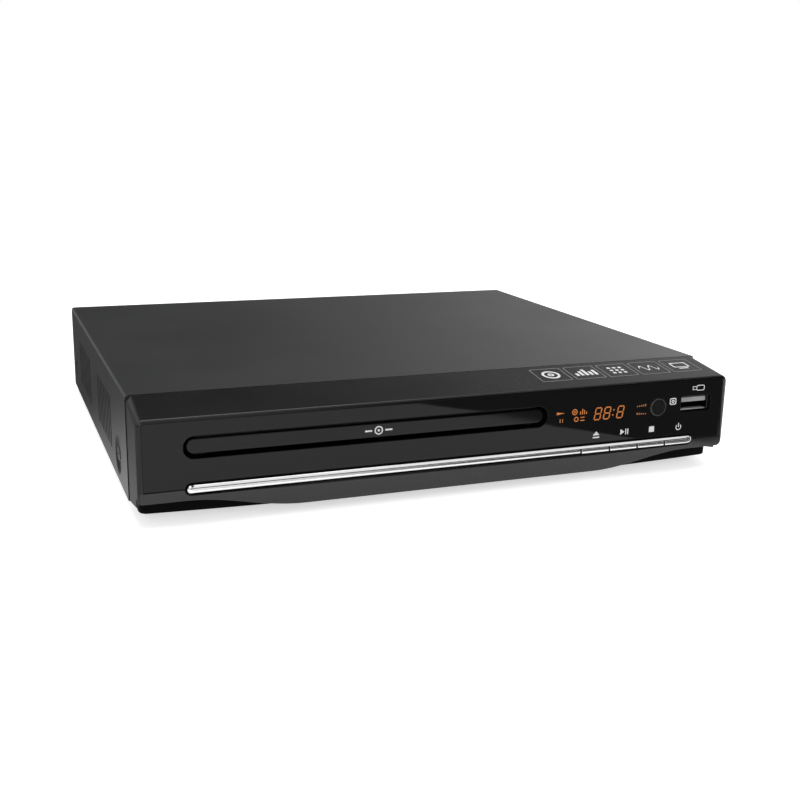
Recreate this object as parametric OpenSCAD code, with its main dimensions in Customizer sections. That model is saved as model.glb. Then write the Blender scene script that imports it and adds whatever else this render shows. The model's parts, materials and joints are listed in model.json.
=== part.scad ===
// Compact disc player with a motorised tray.
// Axes: X to the right, Y to the back, Z up. The origin is the centre of the footprint on the floor.

/* [Case] */
// Width of the case
case_w = 225; // [222:1:240]
// Depth of the case, from the front face to the back edge of the cover
case_d = 200; // [198:1:225]
// Height of the case without its feet
case_h = 37; // [37:1:48]
// Thickness of the folded steel sheets
sheet_t = 0.8; // [0.6:0.1:1.0]
// Outside bend radius of the cover's long edges
bend_r = 1.2; // [1.1:0.1:3]
// Height of the rubber feet
foot_h = 3; // [2:0.5:6]
// Radius of the rubber feet
foot_r = 7; // [5:0.5:10]
// Distance of the feet from the sides of the case
foot_inset = 20; // [14:1:35]
// Radius of the feet's fixing pegs
foot_peg_r = 2; // [1.5:0.25:3]

/* [Side vents and screws] */
// Slots in each group of vents
vent_count = 9; // [4:1:10]
// Distance from slot to slot
vent_pitch = 4.8; // [3.6:0.2:5]
// Width of a slot
vent_w = 2.4; // [1:0.2:3]
// Length of a slot
vent_h = 20; // [10:1:24]
// Radius of the pressed dimple round the front side screws
dimple_r = 7.75; // [5:0.25:9]
// Radius of the dimple round the back side screws
back_dimple_r = 4.5; // [3.5:0.25:8]
// Depth of the dimples
dimple_depth = 1; // [0.6:0.1:1.4]
// Radius of the case screws' shanks
screw_r = 1.4; // [1:0.1:1.8]
// Radius of the case screws' heads
screw_head_r = 2.8; // [2.2:0.1:3.2]

/* [Front panel] */
// Depth of the moulded front panel
panel_d = 21.7; // [20:0.5:30]
// Wall thickness of the moulded panel
panel_wall = 2.6; // [2.2:0.1:3.2]
// Fall of the top lip from the cover to the front edge
lip_drop = 3.2; // [1:0.2:5]
// Radius of the panel's two long top edges
panel_edge_r = 2; // [1.6:0.2:4]
// Radius of the upright front corners
panel_corner_r = 1.6; // [0.8:0.2:3]
// Height of the crease between face and chin, above the underside
crease_rise = 9.6; // [8:0.2:12]
// Lean of the chin away from the face
chin_back = 1.5; // [0.4:0.1:3]
// Height of the chin's lower edge at the sides, above the underside
chin_rise = 5.5; // [3:0.5:7]
// Half width of the straight middle of the belly
belly_half = 56; // [40:1:70]
// Width of each curved ramp beside the belly
belly_ramp = 41; // [20:1:50]
// Set-back of the plinth at its ends
plinth_back = 7; // [4:0.5:9]
// Set-back of the plinth in the middle
plinth_mid_back = 2; // [1.6:0.2:4]
// Set-back of the plinth from the sides of the panel
plinth_inset = 1.3; // [0.6:0.1:1.5]
// Radius of the plinth's two upright corners
plinth_corner_r = 3; // [1:0.5:4]
// Depth of the steep front part of the panel's lower side edges
skirt_depth = 4; // [2:0.5:6]
// Height of the lower side edges behind their steep part, above the underside
skirt_rise = 3.5; // [1:0.5:5]

/* [Face lens] */
// Thickness of the smoked lens
lens_t = 1.2; // [0.8:0.1:1.4]
// Border of the panel left showing beside the lens
lens_border = 1.8; // [1.6:0.1:6]
// Border of the panel left showing over the lens
lens_top = 1.3; // [1:0.1:2]
// Corner radius of the lens
lens_corner_r = 1.2; // [0.6:0.1:4]
// Height of the display window
display_h = 8; // [6:0.5:9]
// Radius of the infrared window
ir_r = 3.6; // [2.5:0.1:4]
// Distance between the middles of the infrared window and of the data socket
ir_pitch = 16.9; // [16.2:0.1:17.6]

/* [Tray slot] */
// Distance from the left side of the case to the slot
slot_side = 14.9; // [13.5:0.1:16]
// Height of the slot's middle above the underside
slot_rise = 23.5; // [23:0.1:24.2]
// Gap between the tray and each end of the slot
slot_end_gap = 2.3; // [2.1:0.1:3]
// Height of the slot
slot_h = 7.8; // [7.6:0.1:8.2]
// Height of the tray door
door_h = 5.2; // [4.6:0.1:6.8]
// Gap beside the tray door's ends
door_end_gap = 1.3; // [0.6:0.1:2]
// Thickness of the tray door
door_t = 2.2; // [1.8:0.1:3]
// Depth of the tray door behind the face
door_recess = 1.2; // [0.4:0.1:2]

/* [Trim strip and buttons] */
// Distance from the left side of the case to the strip
strip_left = 15.8; // [13:0.1:19]
// Distance from the right side of the case to the strip
strip_right = 14.2; // [12:0.1:17]
// Height of the bright strip
strip_h = 3.3; // [3:0.1:3.6]
// Height of the strip's middle above the underside
strip_rise = 9.55; // [9.2:0.05:10]
// How far the strip stands out of the face
strip_out = 0.8; // [0.4:0.1:1.2]
// Height of the continuous top rail of the strip
rail_h = 1.35; // [1:0.05:1.5]
// Width of each button cap and its gap
button_pitch = 12.15; // [11:0.05:12.5]
// Gap between button caps
button_gap = 0.6; // [0.4:0.1:0.8]
// Travel of a button
button_travel = 0.5; // [0.3:0.05:0.6]

/* [Sockets] */
// Width of the front data socket
usb_w = 13; // [12.5:0.1:13.5]
// Height of the front data socket
usb_h = 5.8; // [5.6:0.1:6.2]
// Distance from the right side of the case to the middle of the data socket
usb_side = 13.3; // [12.5:0.1:14.3]
// Depth of the data socket's mouth behind the face
usb_recess = 1.5; // [0.3:0.1:2]
// Outside radius of the round signal sockets
jack_r = 4.15; // [4:0.05:4.3]
// Length of the round sockets behind the cover's back edge
jack_out = 8; // [6:0.5:10]
// Distance between the round sockets
jack_pitch = 14; // [12:0.5:15]

/* [Tray] */
// Rim of the tray on each side of the recess for a large disc
tray_side_rim = 3.4; // [2.9:0.1:3.7]
// Total height of the tray
tray_h = 6.6; // [6.2:0.1:6.8]
// Depth of the runners under the tray's bed
runner_h = 2.1; // [1.8:0.1:2.3]
// Radius of the recess for a large disc
disc_recess_r = 60.6; // [60.4:0.1:61]
// Depth of the recess for a large disc
disc_recess_d = 2.2; // [1.8:0.1:2.4]
// Radius of the recess for a small disc
small_recess_r = 40.6; // [40.4:0.1:42]
// Further depth of the recess for a small disc
small_recess_d = 1; // [0.6:0.1:1.1]
// Width of the opening for the turntable and the pickup
spindle_slot_w = 34; // [31:0.5:38]
// How far the tray runs out
tray_travel = 128; // [114:1:130]

/* [Disc drive] */
// Angle by which the lift frame swings up to the disc
lift_angle = 4.5; // [4.3:0.1:4.7]
// Radius of the turntable
turntable_r = 14.5; // [12:0.1:14.8]
// Radius of the turntable's centring hub
hub_r = 7.3; // [7:0.05:7.4]
// Travel of the pickup along its rods
pickup_travel = 34; // [24:1:34]
// Radius of the pickup's guide rods
rod_r = 1.5; // [1:0.05:1.6]
// Travel of the lifting cam
cam_travel = 14; // [12:0.5:14]

/* [Tray gears] */
// Tooth module of the rack and its pinion
rack_module = 1; // [1:0.05:1.05]
// Teeth of the pinion in the rack
pinion_teeth = 20; // [18:1:20]
// Tooth module of the reduction gears
train_module = 0.8; // [0.75:0.05:0.8]
// Teeth of the large reduction gear
wheel_teeth = 30; // [28:1:30]
// Teeth of the small reduction gear
small_teeth = 12; // [12:1:14]

/* [Hidden] */
$fn = 64;

// Clearances
run_gap = 0.1;         // between flat faces that slide
bearing_gap = 0.05;    // radial, between a shaft and its bearing
fit_gap = 0.15;        // between parts that are pushed together
seam_gap = 0.1;        // visible joint between outer parts
eps = 0.01;            // overrun of a cut that has to break through
far = 400;             // longer than the whole case

// Levels
base_z = foot_h;
floor_z = base_z + sheet_t;
top_z = base_z + case_h;
lip_z = top_z - lip_drop;
crease_z = base_z + crease_rise;
slot_z = base_z + slot_rise;
strip_z = base_z + strip_rise;
strip_top = strip_z + strip_h / 2;
strip_bottom = strip_z - strip_h / 2;
rail_z = strip_top - rail_h;
display_z = slot_z - 0.6;
socket_z = base_z + 16;

// Front to back
front_y = -(case_d + strip_out + jack_out) / 2 + strip_out;
joint_y = front_y + panel_d;
back_y = front_y + case_d;
rear_face_y = back_y - 1;
rear_wall_y = rear_face_y - sheet_t;
half_w = case_w / 2;
chassis_half = half_w - sheet_t - dimple_depth - seam_gap;
tray_w = 2 * (disc_recess_r + tray_side_rim);
slot_w = tray_w + 2 * slot_end_gap;
tray_x = slot_side + slot_w / 2 - half_w;
strip_l = case_w - strip_left - strip_right;
strip_x = (strip_left - strip_right) / 2;
usb_x = half_w - usb_side;
ir_x = usb_x - ir_pitch;

// Tray and disc
tray_z = slot_z - slot_h / 2 + 0.3;
bed_z = tray_z + runner_h;
tray_top = tray_z + tray_h;
disc_z = tray_top - disc_recess_d;
small_disc_z = disc_z - small_recess_d;
door_y = front_y + door_recess;
tray_y = door_y + door_t;
tray_rim = 3.9;
disc_y = tray_y + tray_rim + disc_recess_r;
tray_back_y = disc_y + disc_recess_r + 9.2;
gear_y = front_y + 20.6;
runner_back_y = gear_y + tray_travel + 5.1;
runner_x = tray_w / 2 - 2;
runner_t = 3.5;
rack_x = runner_x - runner_t;

// Gears
pinion_r = rack_module * pinion_teeth / 2;
wheel_r = train_module * wheel_teeth / 2;
small_r = train_module * small_teeth / 2;
gear_x = tray_x - rack_x + 1.25 * rack_module + pinion_r;
pulley_x = gear_x + wheel_r + small_r;
motor_x = pulley_x + 36.5;
pressure_angle = 25;
backlash = 0.12;
pulley_r = 11;
motor_pulley_r = 3;
groove_depth = 0.8;
belt_t = 1;

// Loader frame
frame_wall = 2.4;
frame_in = tray_w / 2 + 0.6;
frame_out = frame_in + frame_wall;
deck_z = base_z + 11.5;
deck_t = 1.5;
deck_top = deck_z + deck_t;
back_deck_z = deck_z - 4;
frame_top = tray_top + 2;
frame_front_y = front_y + 8;
frame_back_y = runner_back_y + 4;
window_half = 40;
window_front_y = front_y + 42.1;
gear_top = bed_z - 0.2;
post_r = 2;
pulley_post_r = 1.5;
motor_r = 10;

// Lift frame, drawn in its raised place and then swung down to rest
pivot_y = frame_back_y + 1.6;
pivot_z = base_z + 14.75;
plate_t = 1.5;
plate_z = pivot_z - plate_t / 2;
plate_top = plate_z + plate_t;
plate_half = 32;
plate_front_y = window_front_y + 6.6;
pivot_r = 2;
pin_r = 1.5;
seat_z = disc_z + 1.6;
rod_x = 19;
rod_z = plate_top + 2;
rod_front_y = disc_y + 6.2;
rod_back_y = rod_front_y + 75;
lens_y = disc_y + 24;
sled_front_y = lens_y - 9;
sled_back_y = lens_y + 13;
sled_half = 14;
screw_x = 26.5;
feed_screw_r = 1.5;
feed_motor_r = 5;
feed_motor_y = rod_back_y - 6;
spindle_r = 11;
spindle_top = seat_z - 3.6;

// Boards and sockets
board_t = 1.6;
board_z = floor_z + 5;
board_top = board_z + board_t;
front_board_x = tray_x + frame_out + 4.3;
front_board_y = front_y + 9;
display_left = tray_x + slot_w / 2 + 2.9;
display_w = ir_x - ir_r + 0.2 - display_left;
display_x = display_left + display_w / 2;
tact_z = (strip_bottom + rail_z) / 2;
button_x0 = strip_x + strip_l / 2 - 4 * button_pitch;
usb_y = front_y + usb_recess;
usb_d = 14;
usb_wall = 0.35;
jack_count = 4;
jack_x0 = chassis_half - 8.6 - (jack_count - 0.5) * jack_pitch;
inlet_x = -chassis_half + 22.6;
main_left = 8;
hdmi_x = main_left + 14;

// ---------------------------------------------------------------- shared shapes

// Flat plate with round corners, centred in X and Y, standing on z = 0
module round_plate(w, d, h, r) {
    translate([-w / 2 + r, -d / 2, 0]) cube([w - 2 * r, d, h]);
    translate([-w / 2, -d / 2 + r, 0]) cube([w, d - 2 * r, h]);
    for (sx = [-1, 1], sy = [-1, 1])
        translate([sx * (w / 2 - r), sy * (d / 2 - r), 0]) cylinder(r = r, h = h);
}

// Upright bar with half-round ends, centred in X and Z, its front at y = 0
module stadium(w, h, t) {
    r = h / 2;
    translate([-w / 2 + r, 0, -r]) cube([w - h, t, h]);
    for (s = [-1, 1]) translate([s * (w / 2 - r), 0, 0]) rod_along_y(r, t);
}

// Cylinder along +Y that starts at y = 0
module rod_along_y(r, l) {
    rotate([-90, 0, 0]) cylinder(r = r, h = l);
}

// Cylinder along +X that starts at x = 0
module rod_along_x(r, l) {
    rotate([0, 90, 0]) cylinder(r = r, h = l);
}

// Box from its two corners
module box(a, b) {
    translate(a) cube(b - a);
}

// Outline of a spur gear: each flank follows the involute of its base circle
function inv_deg(a) = tan(a) * 180 / PI - a;
function half_tooth(r, m, z) =
    let (rp = m * z / 2, rb = rp * cos(pressure_angle))
    (90 / z - backlash / 2 / rp * 180 / PI) + inv_deg(pressure_angle) - inv_deg(acos(min(1, rb / r)));
function polar(r, a) = [r * cos(a), r * sin(a)];
function gear_points(m, z, steps = 4) =
    let (rp = m * z / 2, r1 = max(rp * cos(pressure_angle), rp - 1.2 * m), r2 = rp + m * 0.95,
         root = rp - 1.25 * m)
    [for (i = [0:z - 1])
        let (c = i * 360 / z)
        each concat([polar(root, c - half_tooth(r1, m, z))],
                    [for (k = [0:steps])
                        let (r = r1 + (r2 - r1) * k / steps) polar(r, c - half_tooth(r, m, z))],
                    [for (k = [steps:-1:0])
                        let (r = r1 + (r2 - r1) * k / steps) polar(r, c + half_tooth(r, m, z))],
                    [polar(root, c + half_tooth(r1, m, z))])];
module gear(m, z, h, turn = 0) {
    rotate([0, 0, turn]) linear_extrude(height = h) polygon(gear_points(m, z));
}

// Straight rack along Y whose teeth point to +X from the line x = 0
module rack(m, y0, y1, h) {
    pitch = PI * m;
    slope = tan(pressure_angle);
    tip = m * 0.95;
    deep = 1.25 * m;
    half = pitch / 4 - backlash / 2;
    first = ceil((y0 - gear_y) / pitch + 0.5);
    last = floor((y1 - gear_y) / pitch - 0.5);
    for (i = [first:last]) {
        c = gear_y + i * pitch;
        linear_extrude(height = h)
            polygon([[0, c - half - deep * slope], [deep + tip, c - half + tip * slope],
                     [deep + tip, c + half - tip * slope], [0, c + half + deep * slope]]);
    }
}

// Swings the raised lift frame down to its rest
module lowered() {
    translate([tray_x, pivot_y, pivot_z]) rotate([lift_angle, 0, 0]) translate([0, -pivot_y, -pivot_z])
        children();
}

// ---------------------------------------------------------------- case

side_screw_z = base_z + 10;
front_screw_y = front_y + 45;
back_screw_y = back_y - 13;
vent_front_y = front_y + 62;
vent_back_y = back_y - 72;
vent_z = base_z + 7;

// Each side screw: [side, y, dimple radius]
side_screws = [for (s = [-1, 1]) each [[s, front_screw_y, dimple_r], [s, back_screw_y, back_dimple_r]]];
back_screw_x = [-half_w + 14, half_w - 10];
back_screw_z = top_z - 9;

// Section of the cover: an upside-down U with two bends
module cover_section(out, r) {
    translate([-half_w + out, -1]) square([case_w - 2 * out, case_h - out - r + 1]);
    translate([-half_w + out + r, 0]) square([case_w - 2 * (out + r), case_h - out]);
    for (s = [-1, 1]) translate([s * (half_w - out - r), case_h - out - r]) circle(r = r);
}

module top_cover() color("#38393c") difference() {
    union() {
        translate([0, back_y, base_z]) rotate([90, 0, 0]) linear_extrude(height = case_d - panel_d - seam_gap)
            difference() {
                intersection() {
                    cover_section(0, bend_r);
                    translate([-half_w, 0]) square([case_w, case_h]);
                }
                cover_section(sheet_t, bend_r - sheet_t);
            }
        for (p = side_screws)
            translate([p[0] * half_w, p[1], side_screw_z])
                rotate([0, -90 * p[0], 0]) cylinder(r = p[2], h = sheet_t + dimple_depth);
    }
    for (p = side_screws)
        translate([p[0] * half_w, p[1], side_screw_z]) rotate([0, -90 * p[0], 0]) {
            translate([0, 0, -1]) cylinder(r = p[2] - sheet_t, h = dimple_depth + 1);
            cylinder(r = screw_r + 0.2, h = 5);
        }
    for (s = [-1, 1], y0 = [vent_front_y, vent_back_y], i = [0:vent_count - 1])
        translate([s * half_w, y0 + i * vent_pitch + vent_w / 2, vent_z]) vent_slot();
}

// One upright slot with half-round ends
module vent_slot() {
    translate([-2, -vent_w / 2, vent_w / 2]) cube([4, vent_w, vent_h - vent_w]);
    for (z = [vent_w / 2, vent_h - vent_w / 2]) translate([-2, 0, z]) rod_along_x(vent_w / 2, 4);
}

module base_chassis() color("silver") difference() {
    union() {
        // Floor and its two upturned flanges
        box([-chassis_half, joint_y + seam_gap, base_z], [chassis_half, rear_face_y, floor_z]);
        for (s = [-1, 1])
            translate([s * (chassis_half - sheet_t / 2), 0, 0])
                box([-sheet_t / 2, joint_y + 6, base_z], [sheet_t / 2, rear_face_y, base_z + 20]);
        // Back wall with a folded top edge
        box([-chassis_half, rear_wall_y, base_z], [chassis_half, rear_face_y, top_z - sheet_t - seam_gap]);
        box([-chassis_half, rear_wall_y - 8, top_z - 2 * sheet_t - seam_gap],
            [chassis_half, rear_face_y, top_z - sheet_t - seam_gap]);
        // Pressed ribs that stiffen the floor
        for (x = [-62, -31, 0]) translate([x, 20, floor_z]) round_plate(6, 90, 0.8, 2.9);
    }
    for (p = side_screws)
        translate([p[0] * (half_w - 6), p[1], side_screw_z]) rotate([0, 90 * p[0], 0])
            cylinder(r = screw_r + bearing_gap, h = 6);
    for (x = back_screw_x) translate([x, rear_wall_y - 1, back_screw_z]) rod_along_y(screw_r + bearing_gap, 4);
    for (p = foot_places())
        translate([p[0], p[1], base_z - 1]) cylinder(r = foot_peg_r + fit_gap, h = sheet_t + 2);
    for (i = [0:jack_count - 1])
        translate([jack_x0 + i * jack_pitch, rear_wall_y - 1, socket_z]) rod_along_y(jack_r + 0.6, 4);
    translate([hdmi_x, rear_wall_y - 1, board_top + 3.4]) box([-7.9, 0, -3.1], [7.9, 4, 3.1]);
    translate([inlet_x, rear_wall_y - 1, socket_z]) box([-10.2, 0, -6.2], [10.2, 4, 6.2]);
    // Two rows of vent slots in the back wall
    for (i = [0:9], z = [socket_z - 6, socket_z + 6])
        translate([-60 + i * 6, rear_wall_y - 1, z]) rotate([0, 90, 0]) stadium(9, 2.4, 4);
}

function foot_places() = [for (sx = [-1, 1], y = [front_y + 32, back_y - 24]) [sx * (half_w - foot_inset), y]];

module rubber_feet() color("#1a1a1b") for (p = foot_places()) translate([p[0], p[1], 0]) {
    difference() {
        cylinder(r1 = foot_r - 0.6, r2 = foot_r, h = foot_h);
        translate([0, 0, -eps]) cylinder(r = foot_r - 3, h = 0.5);
    }
    cylinder(r = foot_peg_r, h = foot_h + sheet_t + 1.4);
    translate([0, 0, floor_z + 0.1]) cylinder(r1 = foot_peg_r + 0.9, r2 = foot_peg_r, h = 1.3);
}

// Pan-head screw along +Z, its head from z = 0 down to -head
module pan_screw(length, head = 0.9) {
    difference() {
        translate([0, 0, -head]) cylinder(r1 = screw_head_r - 0.5, r2 = screw_head_r, h = head);
        for (a = [0, 90]) rotate([0, 0, a]) translate([-1.7, -0.35, -head - eps]) cube([3.4, 0.7, 0.5]);
    }
    cylinder(r = screw_r, h = length);
}

module case_screws() color("#2c2c2e") {
    for (p = side_screws)
        translate([p[0] * (half_w - dimple_depth), p[1], side_screw_z]) rotate([0, -90 * p[0], 0]) pan_screw(5);
    for (x = back_screw_x) translate([x, rear_face_y, back_screw_z]) rotate([90, 0, 0]) pan_screw(5);
}

// ---------------------------------------------------------------- front panel

// Height of the belly's lower edge: a flat middle that rises on a cosine ramp to each side
function ramp(t) = (1 - cos(180 * min(1, max(0, t)))) / 2;
function belly_z(x) = base_z + chin_rise * ramp((abs(x) - belly_half) / belly_ramp);
belly_steps = 14;
function belly_x(i) = belly_half + belly_ramp * i / belly_steps;

// Levels of the moulding's floor behind the chin and over the belly
panel_floor_z = base_z + chin_rise + 1.4;
belly_floor_z = base_z + 2.2;

// Set-back of the plinth: a parabola from the middle to the ends
function plinth_y(x) = front_y + plinth_mid_back + (plinth_back - plinth_mid_back) * pow(x / half_w, 2);

// Prism that follows the sloping lip; inset moves all its faces inwards
module lip_prism(inset, r) {
    translate([0, joint_y, top_z]) rotate([atan(lip_drop / panel_d), 0, 0])
        translate([0, 10, -inset]) rotate([90, 0, 0]) linear_extrude(height = panel_d + 20) {
            w = case_w - 2 * inset;
            translate([-w / 2 + r, -r]) square([w - 2 * r, r]);
            translate([-w / 2, -case_h - 20]) square([w, case_h + 20 - r]);
            for (s = [-1, 1]) translate([s * (w / 2 - r), -r]) circle(r = r);
        }
}

// Plan of the panel with its two round front corners
module panel_plan() {
    r = panel_corner_r;
    box([-half_w, front_y + r, base_z], [half_w, joint_y, top_z]);
    box([-half_w + r, front_y, base_z], [half_w - r, joint_y, top_z]);
    for (s = [-1, 1]) translate([s * (half_w - r), front_y + r, base_z]) cylinder(r = r, h = case_h);
}

// What the leaning chin takes off the face
module chin_cut() {
    rotate([90, 0, 90]) translate([0, 0, -far / 2]) linear_extrude(height = far)
        polygon([[front_y - 5, crease_z], [front_y, crease_z], [front_y + chin_back, base_z],
                 [front_y + chin_back, base_z - 1], [front_y - 5, base_z - 1]]);
}

// Plan of the free floor in front of one end of the plinth, up to the plinth's side
plinth_half = half_w - plinth_inset;
plinth_end_x = plinth_half - plinth_corner_r;
plinth_end_y = plinth_y(plinth_end_x) + plinth_corner_r;
module plinth_front_plan(s) {
    start = belly_half - 2;
    front = [for (i = [0:8]) let (x = start + (plinth_end_x - start) * i / 8) [s * x, plinth_y(x)]];
    corner = [for (a = [15:15:90])
        [s * (plinth_end_x + plinth_corner_r * sin(a)), plinth_end_y - plinth_corner_r * cos(a)]];
    polygon(concat([[s * plinth_half, front_y - 3], [s * start, front_y - 3]], front, corner));
}

// Space under each end of the belly: in front of the plinth, and beside it under the slanting side edge
module belly_cut() {
    for (s = [-1, 1]) {
        intersection() {
            translate([0, joint_y, 0]) rotate([90, 0, 0]) linear_extrude(height = panel_d + 4)
                polygon(concat([for (i = [0:belly_steps]) [s * belly_x(i), belly_z(belly_x(i))]],
                               [[s * (half_w + 3), belly_z(far)], [s * (half_w + 3), base_z - 3],
                                [s * (belly_half - 1), base_z - 3], [s * (belly_half - 1), base_z]]));
            translate([0, 0, base_z - 2]) linear_extrude(height = chin_rise + 3) plinth_front_plan(s);
        }
        translate([s * (plinth_half + 2), 0, 0]) rotate([90, 0, 90]) translate([0, 0, -2 - eps])
            linear_extrude(height = 4)
                polygon([[front_y - 3, base_z - 3], [front_y - 3, base_z + chin_rise],
                         [front_y, base_z + chin_rise], [front_y + skirt_depth, base_z + skirt_rise],
                         [joint_y, base_z], [joint_y, base_z - 3]]);
    }
}

// Space inside the moulding, open to the back
module panel_hollow() {
    intersection() {
        lip_prism(panel_wall, panel_edge_r - 1);
        union() {
            box([-half_w, front_y + panel_wall, panel_floor_z], [half_w, joint_y + 1, top_z]);
            box([-half_w, front_y + plinth_back + panel_wall, belly_floor_z], [half_w, joint_y + 1, top_z]);
            box([-belly_half, front_y + chin_back + panel_wall, belly_floor_z],
                [belly_half, joint_y + 1, top_z]);
        }
    }
}

// Thin tongue that carries the cover's front edge
module cover_ledge() {
    gap = sheet_t + fit_gap;
    intersection() {
        translate([0, joint_y + 4, 0]) rotate([90, 0, 0]) linear_extrude(height = 6)
            translate([0, base_z]) difference() {
                cover_section(gap, bend_r - sheet_t);
                cover_section(gap + 1.4, bend_r - sheet_t);
            }
        box([-half_w, joint_y - 2, floor_z + seam_gap], [half_w, joint_y + 4, top_z]);
    }
}

// Button number i, from 0 at the left
function button_x(i) = button_x0 + (i + 0.5) * button_pitch;
button_hole_w = 4;
button_hole_h = 1.5;

module front_panel() color("#26272a") {
    difference() {
        union() {
            difference() {
                intersection() {
                    lip_prism(0, panel_edge_r);
                    panel_plan();
                }
                chin_cut();
                belly_cut();
                panel_hollow();
            }
            // Bosses for the front board
            for (p = front_board_holes)
                translate([p[0], front_y + panel_wall - eps, p[1]])
                    rod_along_y(2.2, front_board_y - front_y - panel_wall + eps);
            cover_ledge();
        }
        lens_outline(lens_t, 0);
        strip_pocket(lens_t);
        translate([tray_x, front_y - 1, slot_z]) stadium(slot_w, slot_h, 20);
        usb_window(12);
        box([display_x - display_w / 2, front_y, display_z - display_h / 2],
            [display_x + display_w / 2, front_y + 8, display_z + display_h / 2]);
        translate([ir_x, front_y, slot_z - 0.3]) rod_along_y(ir_r - 0.8, 8);
        for (i = [0:3])
            box([button_x(i) - button_hole_w / 2, front_y, tact_z - button_hole_h / 2],
                [button_x(i) + button_hole_w / 2, front_y + 8, tact_z + button_hole_h / 2]);
        for (p = front_board_holes) translate([p[0], front_board_y - 4, p[1]]) rod_along_y(0.9, 5);
    }
}

front_board_holes = [for (x = [front_board_x + 4, half_w - 6.5], z = [base_z + 30, base_z + 14.5]) [x, z]];

// Outline of the lens, from the face to depth t, smaller by gap all round
module lens_outline(t, gap) {
    w = case_w - 2 * (lens_border + gap);
    z0 = crease_z + gap;
    z1 = lip_z - lens_top - gap;
    translate([0, front_y, (z0 + z1) / 2]) rotate([-90, 0, 0]) round_plate(w, z1 - z0, t, lens_corner_r);
}

// Pocket that holds the bright strip
module strip_pocket(depth) {
    translate([strip_x, front_y - 1, strip_z]) stadium(strip_l + 1.2, strip_h + 0.9, depth + 1);
}

// Rectangular hole for the data socket
module usb_window(depth) {
    box([usb_x - usb_w / 2 - fit_gap, front_y - 1, slot_z - usb_h / 2 - fit_gap],
        [usb_x + usb_w / 2 + fit_gap, front_y + depth, slot_z + usb_h / 2 + fit_gap]);
}

module face_lens() color("#131416") difference() {
    lens_outline(lens_t, seam_gap);
    translate([tray_x, front_y - 1, slot_z]) stadium(slot_w, slot_h, 5);
    strip_pocket(lens_t + 1);
    usb_window(5);
    translate([ir_x, front_y - 1, slot_z - 0.3]) rod_along_y(ir_r + fit_gap, 5);
}

module ir_window() color("#1c1417") translate([ir_x, front_y, slot_z - 0.3]) difference() {
    rod_along_y(ir_r, lens_t);
    // Fine ring round the window
    translate([0, -eps, 0]) difference() {
        rod_along_y(ir_r - 0.3, 0.15);
        translate([0, -1, 0]) rod_along_y(ir_r - 0.6, 3);
    }
}

// ---------------------------------------------------------------- strip and buttons

// Bar with a rounded top rail, a groove and a sloping lower band; x runs from x0 to x1
module strip_bar(depth) {
    intersection() {
        translate([strip_x, front_y - strip_out, strip_z]) stadium(strip_l, strip_h, strip_out + depth);
        rotate([90, 0, 90]) translate([0, 0, -far / 2]) linear_extrude(height = far)
            polygon([[front_y + depth, strip_bottom - 1], [front_y + depth, strip_top + 1],
                     [front_y, strip_top + 1], [front_y - 0.3 * strip_out, strip_top],
                     [front_y - 0.85 * strip_out, strip_top - 0.3], [front_y - strip_out, strip_top - 0.65],
                     [front_y - strip_out, rail_z + 0.25], [front_y - 0.8 * strip_out, rail_z + 0.12],
                     [front_y - 0.35 * strip_out, rail_z + 0.1], [front_y - 0.35 * strip_out, rail_z - 0.1],
                     [front_y - 0.85 * strip_out, rail_z - 0.16], [front_y - 0.95 * strip_out, rail_z - 0.45],
                     [front_y - 0.5 * strip_out, strip_bottom], [front_y - 0.5 * strip_out, strip_bottom - 1]]);
    }
}

module trim_strip() color("silver") difference() {
    strip_bar(lens_t);
    // Room for the four caps under the rail
    box([button_x0 - button_gap, front_y - 5, strip_bottom - 1], [half_w, front_y + 5, rail_z + 0.1]);
}

// One cap with its stem and the shoulder that keeps it in the panel
cap_depth = 0.5;
shoulder_y = front_y + panel_wall + fit_gap;
shoulder_t = 1;
nub_y = front_board_y - 4.6;
module button(i) color("gainsboro") {
    intersection() {
        strip_bar(cap_depth);
        box([button_x0 + i * button_pitch, front_y - 5, strip_bottom - 1],
            [button_x0 + (i + 1) * button_pitch - (i < 3 ? button_gap : -5), front_y + 5, rail_z - 0.05]);
    }
    box([button_x(i) - button_hole_w / 2 + 0.2, front_y + cap_depth - eps, tact_z - button_hole_h / 2 + 0.2],
        [button_x(i) + button_hole_w / 2 - 0.2, shoulder_y + eps, tact_z + button_hole_h / 2 - 0.2]);
    translate([button_x(i), shoulder_y, tact_z]) box([-3, 0, -1.4], [3, shoulder_t, 1.4]);
    translate([button_x(i), shoulder_y + shoulder_t - eps, tact_z])
        rod_along_y(1, nub_y - shoulder_y - shoulder_t);
}
module button_eject() { button(0); }
module button_play() { button(1); }
module button_stop() { button(2); }
module button_power() { button(3); }

// ---------------------------------------------------------------- front electronics

module front_board() color("#2f6b3a") difference() {
    box([front_board_x, front_board_y, panel_floor_z + seam_gap],
        [half_w - panel_wall - 1.4, front_board_y + board_t, lip_z - panel_wall + 1.1]);
    for (p = front_board_holes) translate([p[0], front_board_y - 1, p[1]]) rod_along_y(1.1, 4);
    translate([usb_x, front_board_y - 1, slot_z])
        box([-usb_w / 2 - 0.3, 0, -usb_h / 2 - 0.3], [usb_w / 2 + 0.3, 4, usb_h / 2 + 0.3]);
}

// Push switches behind the buttons
tact_body_d = 3.5;
module tact_switches() color("#d8d8d8") for (i = [0:3]) translate([button_x(i), front_board_y, tact_z]) {
    box([-3, -tact_body_d, -1.8], [3, 0, 3]);
    translate([0, -nub_reach, 0]) rod_along_y(1.6, nub_reach - tact_body_d + eps);
}
nub_reach = front_board_y - nub_y - button_travel - 0.15;

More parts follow.
